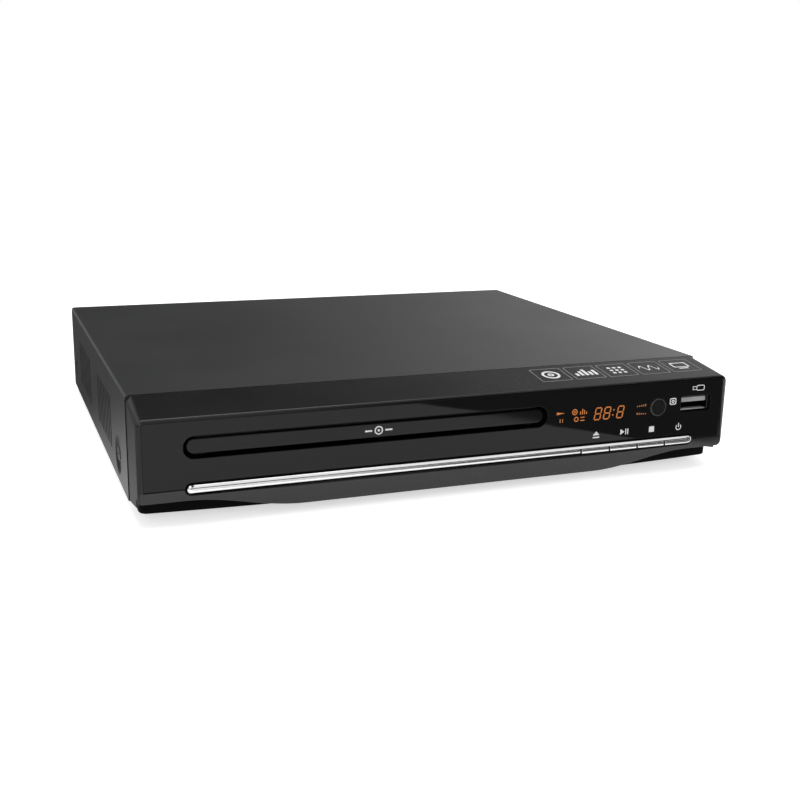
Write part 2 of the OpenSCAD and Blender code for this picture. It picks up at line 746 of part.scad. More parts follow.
// Segment display between the window and the board
module display_module() color("#3a2418") difference() {
    box([display_x - display_w / 2 + 0.5, front_y + panel_wall + 0.4, display_z - display_h / 2 + 0.4],
        [display_x + display_w / 2 - 0.5, front_board_y, display_z + display_h / 2 - 0.4]);
    // Shallow light wells of the digits
    for (i = [0:2]) translate([display_x - 3.4 + i * 4.9, front_y + panel_wall + 0.4 - eps, display_z])
        box([-1.9, 0, -2.6], [1.9, 0.6, 2.6]);
}

// Pressed metal shell of the data socket
module usb_shell() color("lightgray") translate([usb_x, usb_y, slot_z]) difference() {
    box([-usb_w / 2, 0, -usb_h / 2], [usb_w / 2, usb_d, usb_h / 2]);
    box([-usb_w / 2 + usb_wall, -1, -usb_h / 2 + usb_wall],
        [usb_w / 2 - usb_wall, usb_d - usb_wall, usb_h / 2 - usb_wall]);
}

module usb_tongue() color("#c9c9c6") translate([usb_x, usb_y, slot_z])
    box([-5.6, 0.4, 0.35], [5.6, usb_d - usb_wall, 2.2]);

// ---------------------------------------------------------------- tray

module tray_door() color("#1b1c1e") translate([tray_x, door_y, slot_z]) difference() {
    stadium(slot_w - 2 * door_end_gap, door_h, door_t);
    // Bevel along the top and bottom front edges
    for (s = [-1, 1]) translate([0, 0, s * door_h / 2]) rotate([45, 0, 0])
        box([-far / 2, -0.35, -0.35], [far / 2, 0.35, 0.35]);
}

module tray() color("#202123") translate([tray_x, 0, 0]) {
    difference() {
        // Bed with round corners
        translate([0, (tray_y + tray_back_y) / 2, bed_z])
            round_plate(tray_w, tray_back_y - tray_y, tray_top - bed_z, 3);
        translate([0, disc_y, disc_z]) cylinder(r = disc_recess_r, h = 10, $fn = 128);
        translate([0, disc_y, small_disc_z]) cylinder(r = small_recess_r, h = 10, $fn = 128);
        // Opening for the turntable and the pickup
        translate([0, disc_y, bed_z - 1]) cylinder(r = spindle_slot_w / 2, h = 10);
        translate([0, disc_y + disc_recess_r / 2 + 1.5, bed_z - 1])
            round_plate(spindle_slot_w, disc_recess_r + 3, 10, 4);
        // Finger notches at the rim
        for (a = [-135, -45, 45, 135])
            translate([(disc_recess_r - 1) * cos(a), disc_y + (disc_recess_r - 1) * sin(a), small_disc_z])
                cylinder(r = 11, h = 10);
    }
    // Runners under both sides
    for (s = [-1, 1]) translate([s * (runner_x - runner_t / 2), 0, 0])
        box([-runner_t / 2, tray_y + 0.6, tray_z], [runner_t / 2, runner_back_y, bed_z]);
    // Arms that lengthen the runners behind the bed
    for (s = [-1, 1]) translate([s * (runner_x - runner_t / 2), 0, 0])
        box([-runner_t / 2, tray_back_y - eps, bed_z - eps], [runner_t / 2, runner_back_y, bed_z + 2]);
    translate([-rack_x - eps, 0, tray_z]) rack(rack_module, tray_y + 2, runner_back_y, runner_h - eps);
    // Ribs under the bed
    for (s = [-1, 1]) translate([s * 27, 0, 0])
        box([-0.6, tray_y + 24, bed_z - 1], [0.6, tray_back_y, bed_z + eps]);
}

// ---------------------------------------------------------------- loader

module loader_frame() color("#2a2b2d") translate([tray_x, 0, 0]) difference() {
    union() {
        // Side walls
        for (s = [-1, 1]) translate([s * (frame_in + frame_wall / 2), 0, 0])
            box([-frame_wall / 2, frame_front_y, back_deck_z], [frame_wall / 2, frame_back_y, frame_top]);
        // Front deck, side decks and back deck round the window
        box([-frame_in - eps, frame_front_y, deck_z], [frame_in + eps, window_front_y, deck_top]);
        for (s = [-1, 1]) translate([s * (frame_in + window_half) / 2, 0, 0])
            box([-(frame_in - window_half) / 2 - eps, window_front_y - eps, deck_z],
                [(frame_in - window_half) / 2 + eps, frame_back_y, deck_top]);
        box([-frame_in - eps, pivot_y - 8, back_deck_z], [frame_in + eps, frame_back_y, back_deck_z + 2]);
        // Ledges that carry the tray's runners
        for (s = [-1, 1]) translate([s * (frame_in - 2.6), 0, 0])
            box([-2.6 - eps, frame_front_y, tray_z - 2.1], [2.6 + eps, frame_back_y, tray_z - run_gap]);
        // Webs between the ledges and the side decks
        for (s = [-1, 1], y = [window_front_y + 14, disc_y + 40, pivot_y - 4])
            translate([s * (frame_in - 2.6), y, 0]) box([-2.6, -1, deck_top - eps], [2.6, 1, tray_z - 2]);
        // Tabs that keep the tray down
        for (s = [-1, 1], y = [frame_front_y + 2, window_front_y, disc_y + 42])
            translate([s * (frame_in - 1.5), y, 0])
                box([-1.5 - eps, 0, tray_top + 0.4], [1.5 + eps, 14, frame_top]);
        // Ears that hold the lift frame's pivots
        for (s = [-1, 1]) translate([s * (plate_half + 3.2), pivot_y, 0])
            box([-2, -4, back_deck_z], [2, 4, pivot_z + 4]);
        // Channel of the lifting cam
        box([-46, cam_y - 2.5, cam_bottom - 1.3], [46, cam_y - run_gap, deck_z + eps]);
        box([-46, cam_y - 1, cam_bottom - 1.3], [46, cam_y + 3.6, cam_bottom - run_gap]);
        box([-46, cam_y + cam_t + run_gap, cam_bottom - 1.3], [46, cam_y + 3.6, cam_bottom + 1.6]);
        // Posts of the gears
        translate([gear_x - tray_x, gear_y, deck_z]) cylinder(r = post_r, h = gear_top - deck_z);
        translate([gear_x - tray_x, gear_y, deck_z]) cylinder(r = post_r + 1.6, h = deck_t + 0.5);
        translate([pulley_x - tray_x, gear_y, deck_z]) cylinder(r = pulley_post_r, h = gear_top - 0.4 - deck_z);
        translate([pulley_x - tray_x, gear_y, deck_z]) cylinder(r = pulley_post_r + 1.6, h = deck_t + 0.3);
        // Legs down to the floor
        for (p = frame_legs) translate([p[0], p[1], floor_z]) cylinder(r = leg_r, h = deck_z - floor_z + eps);
    }
    // Room for the reduction gear beside the ledge
    translate([gear_x - tray_x, gear_y, deck_top + 0.2])
        cylinder(r = wheel_r + train_module + 0.8, h = tray_z - deck_top);
    // Hole for the loading motor's shaft and pilot
    translate([motor_x - tray_x, gear_y, deck_z - 1]) cylinder(r = 3.4, h = 5);
    // Bearings of the lift frame
    translate([-plate_half - 8, pivot_y, pivot_z]) rod_along_x(pivot_r + bearing_gap, 2 * plate_half + 16);
    for (p = frame_legs) translate([p[0], p[1], floor_z - 1]) cylinder(r = screw_r + bearing_gap, h = far);
}

leg_r = 4;
frame_legs = [for (s = [-1, 1], y = [window_front_y + 8, pivot_y - 18]) [s * (frame_in - 8), y]];
cam_t = 2.3;
cam_y = window_front_y + 0.3;
cam_bottom = base_z + 2.4;

module loader_screws() color("#b8babd") for (p = frame_legs)
    translate([p[0] + tray_x, p[1], deck_top]) rotate([180, 0, 0]) pan_screw(deck_top - floor_z - 0.6, 1.4);

module drive_gear() color("#e9e6dc") translate([gear_x, gear_y, 0]) difference() {
    union() {
        translate([0, 0, tray_z - 3.1]) gear(train_module, wheel_teeth, 2.5);
        translate([0, 0, tray_z - 0.6 - eps]) cylinder(r = pinion_r - 1.25 * rack_module - 0.4, h = 0.6);
        translate([0, 0, tray_z - 0.1])
            gear(rack_module, pinion_teeth, gear_top - tray_z + 0.1, 180 / pinion_teeth);
        translate([0, 0, deck_top + 0.6]) cylinder(r = 4, h = gear_top - deck_top - 0.6);
    }
    translate([0, 0, deck_top]) cylinder(r = post_r + bearing_gap, h = 12);
}

// Level and height of the belt pulleys
pulley_z = deck_top + 0.4;
pulley_h = 2.8;
module grooved_pulley(r) {
    groove_h = 1.4;
    cylinder(r = r, h = (pulley_h - groove_h) / 2);
    cylinder(r = r - groove_depth, h = pulley_h);
    translate([0, 0, (pulley_h + groove_h) / 2]) cylinder(r = r, h = (pulley_h - groove_h) / 2);
}

module pulley_gear() color("#e9e6dc") translate([pulley_x, gear_y, 0]) difference() {
    union() {
        translate([0, 0, pulley_z]) grooved_pulley(pulley_r);
        translate([0, 0, pulley_z + pulley_h - eps]) cylinder(r = small_r - 1.25 * train_module, h = 1);
        translate([0, 0, tray_z - 3.2]) gear(train_module, small_teeth, 2.7, 180 / small_teeth);
    }
    translate([0, 0, deck_top]) cylinder(r = pulley_post_r + bearing_gap, h = 12);
}

module motor_pulley() color("#d8b56a") translate([motor_x, gear_y, 0]) {
    translate([0, 0, pulley_z]) grooved_pulley(motor_pulley_r);
    translate([0, 0, deck_z - 6]) cylinder(r = 1, h = pulley_z - deck_z + 6 + eps);
}

module drive_belt() color("#151515") translate([0, gear_y, pulley_z + pulley_h / 2 - 0.5])
    linear_extrude(height = 1) difference() {
        belt_loop(belt_t + bearing_gap);
        belt_loop(bearing_gap);
    }
module belt_loop(grow) {
    hull() {
        translate([pulley_x, 0]) circle(r = pulley_r - groove_depth + grow);
        translate([motor_x, 0]) circle(r = motor_pulley_r - groove_depth + grow);
    }
}

module loading_motor() color("#c9ccd0") translate([motor_x, gear_y, 0]) difference() {
    union() {
        translate([0, 0, deck_z - 9]) cylinder(r = motor_r, h = 9);
        translate([0, 0, deck_z - eps]) cylinder(r = 3.1, h = 1);
    }
    translate([0, 0, deck_z - 6.2]) cylinder(r = 1 + bearing_gap, h = 8);
}

// ---------------------------------------------------------------- clamp over the tray

bridge_z = frame_top + 0.5;
bridge_t = 1.6;
bridge_hole_r = 12.2;
module clamp_bridge() color("#3a3b3e") translate([tray_x, disc_y, 0]) difference() {
    union() {
        box([-frame_out, -17, bridge_z], [frame_out, 17, bridge_z + bridge_t]);
        for (s = [-1, 1]) translate([s * (frame_out - frame_wall / 2), 0, 0])
            box([-frame_wall / 2, -17, frame_top], [frame_wall / 2, 17, bridge_z + eps]);
        for (s = [-1, 1]) translate([0, s * 16.4, 0])
            box([-frame_out, -0.6, bridge_z], [frame_out, 0.6, bridge_z + 3.2]);
        translate([0, 0, bridge_z]) cylinder(r = bridge_hole_r + 1.6, h = bridge_t);
    }
    translate([0, 0, bridge_z - 1]) cylinder(r = bridge_hole_r, h = 6);
    // Windows that lighten the bridge
    for (s = [-1, 1]) translate([s * 40, 0, bridge_z - 1]) round_plate(34, 20, 6, 3);
}

module clamp_puck() color("#ded9cf") translate([tray_x, disc_y, 0]) difference() {
    union() {
        translate([0, 0, tray_top + 0.4]) cylinder(r = 14.6, h = 1.7);
        translate([0, 0, tray_top + 1]) cylinder(r = bridge_hole_r - 0.6, h = 4);
        translate([0, 0, bridge_z + bridge_t + run_gap]) cylinder(r = 14.2, h = 1.6);
    }
    translate([0, 0, tray_top]) cylinder(r1 = hub_r + 1.2, r2 = hub_r + 0.7, h = 3.2);
    translate([0, 0, bridge_z + bridge_t + 0.9]) cylinder(r = 9, h = 2);
}

// ---------------------------------------------------------------- lifting cam

cam_pin_y = plate_front_y - 5.4;
cam_pin_rise = (pivot_y - cam_pin_y) * sin(lift_angle);
cam_slot_r = pin_r + 0.4;
module cam_slider() color("#e9e6dc") translate([tray_x, cam_y, 0]) difference() {
    box([-cam_travel - 6, 0, cam_bottom], [8, cam_t, pivot_z + 4.2]);
    // Sloping slot of the lift pin
    for (k = [0, 1])
        translate([-k * cam_travel, -1, pivot_z - (1 - k) * cam_pin_rise]) rod_along_y(cam_slot_r, 5);
    translate([0, -1, pivot_z - cam_pin_rise]) rotate([0, 180 + atan(cam_pin_rise / cam_travel), 0])
        box([0, 0, -cam_slot_r], [norm([cam_travel, cam_pin_rise]), 5, cam_slot_r]);
}

// ---------------------------------------------------------------- lift frame

module lift_frame() color("#9fa3a8") lowered() difference() {
    union() {
        box([-plate_half, plate_front_y, plate_z], [plate_half, pivot_y + 4, plate_top]);
        // Pivots at the back
        for (s = [-1, 1]) translate([s * (plate_half - 1.5), pivot_y, pivot_z]) {
            rod_along_x(2.8, 0.01);
            translate([-2.5, 0, 0]) rod_along_x(2.8, 4);
        }
        translate([-plate_half - 5.6, pivot_y, pivot_z]) rod_along_x(pivot_r, 2 * plate_half + 11.2);
        // Lift pin at the front
        translate([0, window_front_y + 0.8, pivot_z]) rod_along_y(pin_r, plate_front_y - window_front_y + 4);
        translate([0, plate_front_y + 3, pivot_z]) box([-3.5, -3, -1.6], [3.5, 3, 1.6]);
        // Turned-down stiffening edges
        for (s = [-1, 1]) translate([s * (plate_half - 0.6), 0, 0])
            box([-0.6, plate_front_y, plate_z - 2], [0.6, pivot_y - 14, plate_z + eps]);
        // Blocks that hold the rods
        for (s = [-1, 1], y = [rod_front_y, rod_back_y - 4])
            translate([s * rod_x, y, plate_top - eps]) box([-3, 0, 0], [3, 4, 4]);
        // Cradle of the feed motor
        translate([screw_x, feed_motor_y, 0]) box([-5.5, 0, rod_z - 6.2], [5.5, 11, rod_z - 1]);
    }
    // Window of the pickup
    translate([0, (sled_front_y - 0.7 + sled_back_y + pickup_travel + 2) / 2, plate_z - 5])
        round_plate(2 * sled_half + 3, sled_back_y - sled_front_y + pickup_travel + 2.7, 10, 2);
    for (s = [-1, 1])
        translate([s * rod_x, rod_front_y - 1, rod_z]) rod_along_y(rod_r + eps, rod_back_y - rod_front_y + 2);
    translate([screw_x, feed_motor_y - 1, rod_z]) rod_along_y(feed_motor_r + eps, 14);
    translate([screw_x, feed_motor_y - 1, 0]) box([-5, 0, rod_z - 1.4], [5, 14, rod_z + 8]);
}

module guide_rods() color("#d5d8dc") lowered() for (s = [-1, 1])
    translate([s * rod_x, rod_front_y, rod_z]) rod_along_y(rod_r, rod_back_y - rod_front_y);

module spindle_motor() color("#b9bcc0") lowered() translate([0, disc_y, 0]) difference() {
    union() {
        translate([0, 0, plate_top]) cylinder(r = spindle_r, h = spindle_top - plate_top - 0.5);
        translate([0, 0, plate_top]) cylinder(r = 5, h = spindle_top - plate_top);
    }
    translate([0, 0, spindle_top - 5]) cylinder(r = 1.25 + bearing_gap, h = 6);
}

module turntable() color("#2b2c2e") lowered() translate([0, disc_y, 0]) {
    difference() {
        translate([0, 0, seat_z - 3]) cylinder(r = turntable_r, h = 3);
        // Recess round the hub, inside the rubber seat
        translate([0, 0, seat_z - 0.6]) difference() {
            cylinder(r = turntable_r - 3.4, h = 1);
            translate([0, 0, -1]) cylinder(r = hub_r, h = 3);
        }
    }
    translate([0, 0, seat_z - 1]) cylinder(r = hub_r, h = 2.2);
    translate([0, 0, seat_z + 1.2 - eps]) cylinder(r1 = hub_r, r2 = hub_r - 1.8, h = 1);
    translate([0, 0, spindle_top - 4.8]) cylinder(r = 1.25, h = seat_z - spindle_top + 3);
}

module feed_screw() color("#e4e6e8") lowered() translate([screw_x, 0, rod_z]) {
    translate([0, rod_front_y + 3, 0]) rod_along_y(feed_screw_r, feed_motor_y - rod_front_y - 3 - 0.2);
    translate([0, feed_motor_y - 0.3, 0]) rod_along_y(0.9, 3);
}

module feed_motor() color("#c9ccd0") lowered() translate([screw_x, feed_motor_y, rod_z]) difference() {
    rod_along_y(feed_motor_r, 11);
    translate([0, -1, 0]) rod_along_y(0.9 + bearing_gap, 4.5);
}

// Sled with a bearing on one rod and a fork on the other
sled_top = bed_z - 0.6;
module pickup() color("#6d7075") lowered() difference() {
    union() {
        box([-sled_half, sled_front_y, plate_z - 1.5], [sled_half, sled_back_y, sled_top]);
        box([-rod_x - 3.2, sled_front_y + 1, plate_top + 0.3], [-sled_half + 1, sled_back_y - 1, rod_z + 2.9]);
        box([sled_half - 1, sled_front_y + 5, plate_top + 0.3], [rod_x + 2.4, sled_front_y + 12, rod_z + 2.9]);
        translate([0, lens_y, sled_top - eps]) cylinder(r = 4.6, h = 2);
    }
    translate([-rod_x, sled_front_y - 1, rod_z]) rod_along_y(rod_r + bearing_gap, 40);
    box([rod_x - rod_r - 0.6, sled_front_y, rod_z - rod_r - 0.1], [rod_x + 6, sled_back_y, rod_z + rod_r + 0.1]);
    // Well of the lens and a curved cut in front for the spindle motor
    translate([0, lens_y, sled_top - 1]) cylinder(r = 3.1, h = 5);
    translate([0, disc_y, 0]) cylinder(r = spindle_r + 1.4, h = far);
}

module pickup_lens() color("#7fa6c8") lowered() translate([0, lens_y, sled_top - 1]) {
    cylinder(r = 2.9, h = 2.1);
    translate([0, 0, 2.1 - eps]) cylinder(r1 = 2.4, r2 = 1.6, h = 0.5);
}

// ---------------------------------------------------------------- boards and back sockets

main_right = chassis_half - 3;
main_step_x = front_board_x;
main_step_y = frame_back_y + 4;
main_back_y = rear_wall_y - 1.5;
main_front_y = main_back_y - 95.1;
supply_right = main_left - 14;
supply_left = -chassis_half + 4;
supply_front_y = main_step_y;
// Places of the ribbon connectors
front_plug_x = main_step_x + 20;
front_plug_y = main_front_y + 10;
supply_plug_x = supply_right - 9;
main_plug_x = main_left + 3;
supply_mid_y = (supply_front_y + main_back_y) / 2;
connector_h = 5;
ribbon_t = 0.5;

main_holes = [[main_step_x + 4, main_front_y + 5], [main_right - 5, main_front_y + 5],
              [main_left + 27, main_back_y - 4], [main_right - 2, main_back_y - 5]];
supply_holes = [[supply_left + 9, supply_front_y + 4], [supply_right - 3.2, supply_front_y + 4],
                [supply_right - 3.2, main_back_y - 4]];

module main_board() color("#2f6b3a") difference() {
    union() {
        box([main_step_x, main_front_y, board_z], [main_right, main_back_y, board_top]);
        box([main_left, main_step_y, board_z], [main_step_x + 1, main_back_y, board_top]);
    }
    for (p = main_holes) translate([p[0], p[1], board_z - 1]) cylinder(r = screw_r, h = 4);
}

module main_chips() color("#202225") {
    // Processor, memory and sound converter
    translate([main_step_x + 34, main_front_y + 36, board_top]) round_plate(20, 20, 1.6, 0.6);
    translate([main_step_x + 10, main_front_y + 42, board_top]) round_plate(10, 18, 1.2, 0.4);
    translate([main_right - 11.6, main_front_y + 54, board_top]) round_plate(8, 12, 1.4, 0.4);
    // Electrolytic capacitors
    for (i = [0, 1]) {
        translate([main_step_x + 10 * (i + 1), main_front_y + 64, board_top]) cylinder(r = 3.2, h = 9);
        translate([main_right - 11.6, main_front_y + 16 + 10 * i, board_top]) cylinder(r = 3.2, h = 9);
    }
    // Ribbon connectors
    translate([front_plug_x, front_plug_y, board_top]) box([-12, -2.5, 0], [12, 2.5, connector_h]);
    translate([main_step_x + 5, main_front_y + 24, board_top]) box([-2, -8, 0], [2, 8, 4]);
    translate([main_plug_x, supply_mid_y, board_top]) box([-2.5, -6, 0], [2.5, 6, connector_h]);
}

module supply_board() color("#b98a4a") difference() {
    box([supply_left, supply_front_y, board_z], [supply_right, main_back_y, board_top]);
    for (p = supply_holes) translate([p[0], p[1], board_z - 1]) cylinder(r = screw_r, h = 4);
}

module supply_transformer() color("#d9b94a") translate([supply_right - 38, supply_mid_y, board_top]) {
    round_plate(17, 15, 13, 1);
    translate([0, 0, 3]) round_plate(19, 11, 7, 1.5);
}

module supply_parts() color("#34373b") translate([0, supply_mid_y, board_top]) {
    // Mains capacitor, two output capacitors, heat sink and fuse holder
    translate([supply_right - 60, -1, 0]) cylinder(r = 6, h = 18);
    for (x = [supply_right - 24, supply_right - 16]) translate([x, 0, 0]) cylinder(r = 3.4, h = 12);
    translate([supply_right - 51, 0, 0]) box([-1, -7, 0], [1, 7, 16]);
    translate([supply_left + 3.1, 0, 0]) box([-2.4, -5, 0], [2.4, 5, 9]);
    // Connector of the ribbon to the main board
    translate([supply_plug_x, 0, 0]) box([-2.5, -6, 0], [2.5, 6, connector_h]);
}

// Points of a path shifted sideways, on the halving line of each corner
function left_of(v) = [-v[1], v[0]] / norm(v);
function beside(path, off) = [for (i = [0:len(path) - 1])
    let (last = len(path) - 1, into = path[max(1, i)] - path[max(1, i) - 1],
         from = path[min(last, i + 1)] - path[min(last, i + 1) - 1], n = left_of(into), m = left_of(from))
    path[i] + off * (n + m) / (1 + n * m)];

// Flat ribbon of wires, w wide in X, that follows a path of [y, z] points
module ribbon(path, w) {
    over = beside(path, ribbon_t / 2);
    under = beside(path, -ribbon_t / 2);
    rotate([90, 0, 90]) translate([0, 0, -w / 2]) linear_extrude(height = w)
        polygon(concat(over, [for (i = [len(under) - 1:-1:0]) under[i]]));
}

// Ribbon from the front board, over the floor, to the main board
module front_cable() color("#c4c6c8") translate([front_plug_x, 0, 0]) {
    plug_back = front_board_y + board_t + seam_gap;
    seat = board_top + connector_h + seam_gap;
    low = floor_z + 2.4;
    translate([0, plug_back, tact_z]) box([-11, 0, 0], [11, 4, 5]);
    translate([0, front_plug_y, seat]) box([-11, -2.2, 0], [11, 2.2, 3]);
    ribbon([[plug_back + 3, tact_z + 2.5], [plug_back + 8, tact_z + 2.5], [joint_y + 6, low],
            [main_front_y - 8, low], [main_front_y - 3, seat + 1.6], [front_plug_y, seat + 1.6]], 18);
}

// Ribbon between the supply and the main board
module supply_cable() color("#c4c6c8") translate([0, supply_mid_y, board_top + connector_h + seam_gap])
    rotate([0, 0, -90]) {
        for (x = [supply_plug_x, main_plug_x]) translate([0, x, 0]) box([-5.5, -2.2, 0], [5.5, 2.2, 3]);
        ribbon([[supply_plug_x, 1.5], [supply_right - 3, 1.5], [supply_right + 2, 0.6], [main_left - 5, 0.6],
                [main_left, 1.5], [main_plug_x, 1.5]], 9);
    }

module jack_block() color("#1d1e20") {
    difference() {
        box([jack_x0 - 7, rear_wall_y - 12, board_top],
            [jack_x0 + (jack_count - 0.5) * jack_pitch, rear_wall_y - 0.1, socket_z + 6]);
        for (i = [0:jack_count - 1]) translate([jack_x0 + i * jack_pitch, rear_wall_y - 8, socket_z])
            rod_along_y(jack_r + eps, 12);
    }
}

module jack_sleeves() color("#c8b060") for (i = [0:jack_count - 1])
    translate([jack_x0 + i * jack_pitch, rear_wall_y - 8, socket_z]) difference() {
        union() {
            rod_along_y(jack_r, back_y + jack_out - rear_wall_y + 8);
            // Coloured collar against the back wall
            translate([0, 8 + sheet_t + seam_gap, 0]) rod_along_y(jack_r + 1.2, 1.4);
        }
        translate([0, 5, 0]) rod_along_y(1.65, 40);
        // Ring-shaped gap between the sleeve and its core
        translate([0, 8, 0]) difference() {
            rod_along_y(jack_r - 0.5, 40);
            translate([0, -1, 0]) rod_along_y(2.6, 60);
        }
    }

module hdmi_socket() color("lightgray") translate([hdmi_x, rear_wall_y - 10, board_top + 3.4]) {
    difference() {
        box([-7.5, 0, -2.9], [7.5, 11.6, 2.9]);
        box([-7, 2, -2.3], [7, 13, 2.3]);
    }
    box([-5.6, 1.8, -0.5], [5.6, 10.2, 0.4]);
    for (s = [-1, 1]) translate([s * 6.6, 5, -3.4]) box([-0.5, -1, 0], [0.5, 1, 0.6]);
}

module mains_inlet() color("#17181a") translate([inlet_x, 0, socket_z]) difference() {
    union() {
        box([-10, rear_wall_y - 13, -6], [10, rear_face_y + 0.1, 6]);
        translate([0, rear_face_y + seam_gap, 0]) rotate([-90, 0, 0]) round_plate(25, 15, 1.6, 2);
        box([-8, rear_wall_y - 13, board_top - socket_z], [8, rear_wall_y - 3, 0]);
    }
    translate([0, rear_wall_y - 10.5, 0]) stadium(17.4, 9, 20);
    for (s = [-1, 1]) translate([s * inlet_pin_x, rear_wall_y - 20, 0]) rod_along_y(inlet_pin_r + eps, 20);
}

// Contact pins, which reach through the inlet to their solder ends
inlet_pin_x = 4.3;
inlet_pin_r = 1.2;
module inlet_pins() color("#cfd2d6") translate([inlet_x, 0, socket_z]) for (s = [-1, 1])
    translate([s * inlet_pin_x, rear_wall_y - 15.5, 0]) rod_along_y(inlet_pin_r, 13.5);

// Pillars under the boards, each with its screw
module board_pillars() color("#b8babd") for (p = concat(main_holes, supply_holes))
    translate([p[0], p[1], floor_z]) {
        cylinder(r = 2.6, h = board_z - floor_z);
        cylinder(r = screw_r - 0.1, h = board_top - floor_z);
        translate([0, 0, board_top - floor_z]) cylinder(r1 = screw_head_r, r2 = screw_head_r - 0.6, h = 1.2);
    }

top_cover();
base_chassis();
case_screws();
rubber_feet();
front_panel();
face_lens();
trim_strip();
button_eject();
button_play();
button_stop();
button_power();
ir_window();
front_board();
tact_switches();
display_module();
usb_shell();
usb_tongue();
tray();
tray_door();
loader_frame();
drive_gear();
pulley_gear();
motor_pulley();
drive_belt();
loading_motor();
clamp_bridge();
clamp_puck();
cam_slider();
lift_frame();
guide_rods();
spindle_motor();
feed_motor();
feed_screw();
turntable();
pickup();
pickup_lens();
main_board();
main_chips();
supply_board();
supply_transformer();
supply_parts();
jack_block();
jack_sleeves();
hdmi_socket();
mains_inlet();
inlet_pins();
board_pillars();
loader_screws();
front_cable();
supply_cable();
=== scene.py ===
"""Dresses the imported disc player: outer shells, finishes, printed marks, studio and camera."""

from __future__ import annotations

import json
import logging
import math
from dataclasses import dataclass, field
from enum import Enum
from typing import Callable, Sequence

import bmesh
import bpy
import numpy as np
from mathutils import Matrix, Vector

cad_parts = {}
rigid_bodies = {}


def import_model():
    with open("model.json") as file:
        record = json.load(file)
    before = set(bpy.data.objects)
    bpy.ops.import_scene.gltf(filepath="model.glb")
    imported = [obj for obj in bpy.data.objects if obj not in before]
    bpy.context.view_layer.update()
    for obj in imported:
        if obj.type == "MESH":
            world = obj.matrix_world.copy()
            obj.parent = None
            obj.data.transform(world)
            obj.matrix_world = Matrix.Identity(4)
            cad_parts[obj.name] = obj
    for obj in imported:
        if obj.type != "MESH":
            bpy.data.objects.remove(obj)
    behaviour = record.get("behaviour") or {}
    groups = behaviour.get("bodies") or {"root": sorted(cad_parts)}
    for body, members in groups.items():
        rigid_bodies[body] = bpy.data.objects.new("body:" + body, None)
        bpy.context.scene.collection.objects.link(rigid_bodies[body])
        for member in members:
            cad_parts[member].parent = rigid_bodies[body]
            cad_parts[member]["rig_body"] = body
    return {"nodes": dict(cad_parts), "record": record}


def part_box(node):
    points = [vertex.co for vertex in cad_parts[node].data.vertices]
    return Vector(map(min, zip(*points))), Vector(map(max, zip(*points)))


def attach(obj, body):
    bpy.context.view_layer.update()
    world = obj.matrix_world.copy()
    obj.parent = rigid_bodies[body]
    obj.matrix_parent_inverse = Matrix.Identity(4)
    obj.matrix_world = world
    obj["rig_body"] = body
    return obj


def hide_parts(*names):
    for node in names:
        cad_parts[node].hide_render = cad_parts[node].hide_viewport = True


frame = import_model()

Array = np.ndarray
Point = Sequence[float]
Mark = tuple[Array, Sequence[Array]]
Pair = tuple[float, float]
Triple = tuple[float, float, float]
Tone = float | Triple
Tree = bpy.types.NodeTree
Socket = bpy.types.NodeSocket
MM = 0.001
X_AXIS, Y_AXIS, Z_AXIS = (1, 0, 0), (0, 1, 0), (0, 0, 1)
TINY = 0.001
log = logging.getLogger("disc_player")


# ---------------------------------------------------------------- meshes


@dataclass
class Shell:
    """Points in millimetres, and the faces between them as arrays of point numbers."""

    points: Array
    faces: list[Array]

    def __add__(self, other: Shell) -> Shell:
        """Both shells in one."""
        shift = len(self.points)
        return Shell(np.vstack([self.points, other.points]), self.faces + [f + shift for f in other.faces])

    def flipped(self) -> Shell:
        """The same shell with its faces turned round."""
        return Shell(self.points, [f[:, ::-1] for f in self.faces])

    def placed(self, origin: Point, u: Point, v: Point) -> Shell:
        """Carries the zero point to origin, X and Y to u and v, and Z to their cross product."""
        axes = np.array([u, v, np.cross(u, v)], float)
        return Shell(self.points @ axes + np.array(origin, float), self.faces)

    def upright(self, origin: Point) -> Shell:
        """Stands the shell up at a point: its Y points up and its Z to the front."""
        return self.placed(origin, X_AXIS, Z_AXIS)


def joined(shells: Sequence[Shell]) -> Shell:
    """All the shells in one."""
    return sum(shells[1:], shells[0])


def grid_shell(points: Array, close_rows: bool = False, close_cols: bool = False) -> Shell:
    """A surface of quads over a grid of points.

    Args:
        points: array of rows by columns by three.
        close_rows: joins the last row to the first.
        close_cols: joins the last column to the first.

    Returns:
        The shell, whose quad at row i and column j has the corners (i, j), (i, j+1), (i+1, j+1), (i+1, j).
    """
    rows, cols = points.shape[:2]
    i = np.arange(rows if close_rows else rows - 1)[:, None]
    j = np.arange(cols if close_cols else cols - 1)[None, :]
    below, right = (i + 1) % rows, (j + 1) % cols
    quads = np.stack([i * cols + j, i * cols + right, below * cols + right, below * cols + j], -1)
    return Shell(points.reshape(-1, 3), [quads.reshape(-1, 4)])


def arc(centre: Point, radius: float, start: float, end: float, steps: int) -> Array:
    """Points on a circle: centre + radius * (cos a, sin a), for angles a from start to end in degrees."""
    a = np.radians(np.linspace(start, end, steps + 1))
    return np.stack([centre[0] + radius * np.cos(a), centre[1] + radius * np.sin(a)], 1)


def round_rect(width: float, height: float, radius: float, centre: Point = (0, 0), steps: int = 8) -> Array:
    """Outline of a rectangle with four quarter-circle corners, anticlockwise.

    Args:
        width: full width.
        height: full height.
        radius: radius of the corners.
        centre: middle of the rectangle.
        steps: segments in each corner.

    Returns:
        Points in rows of two.
    """
    x, y = width / 2 - radius, height / 2 - radius
    corners = [(x, -y, -90), (x, y, 0), (-x, y, 90), (-x, -y, 180)]
    return np.vstack([arc((centre[0] + cx, centre[1] + cy), radius, a, a + 90, steps)
                      for cx, cy, a in corners])


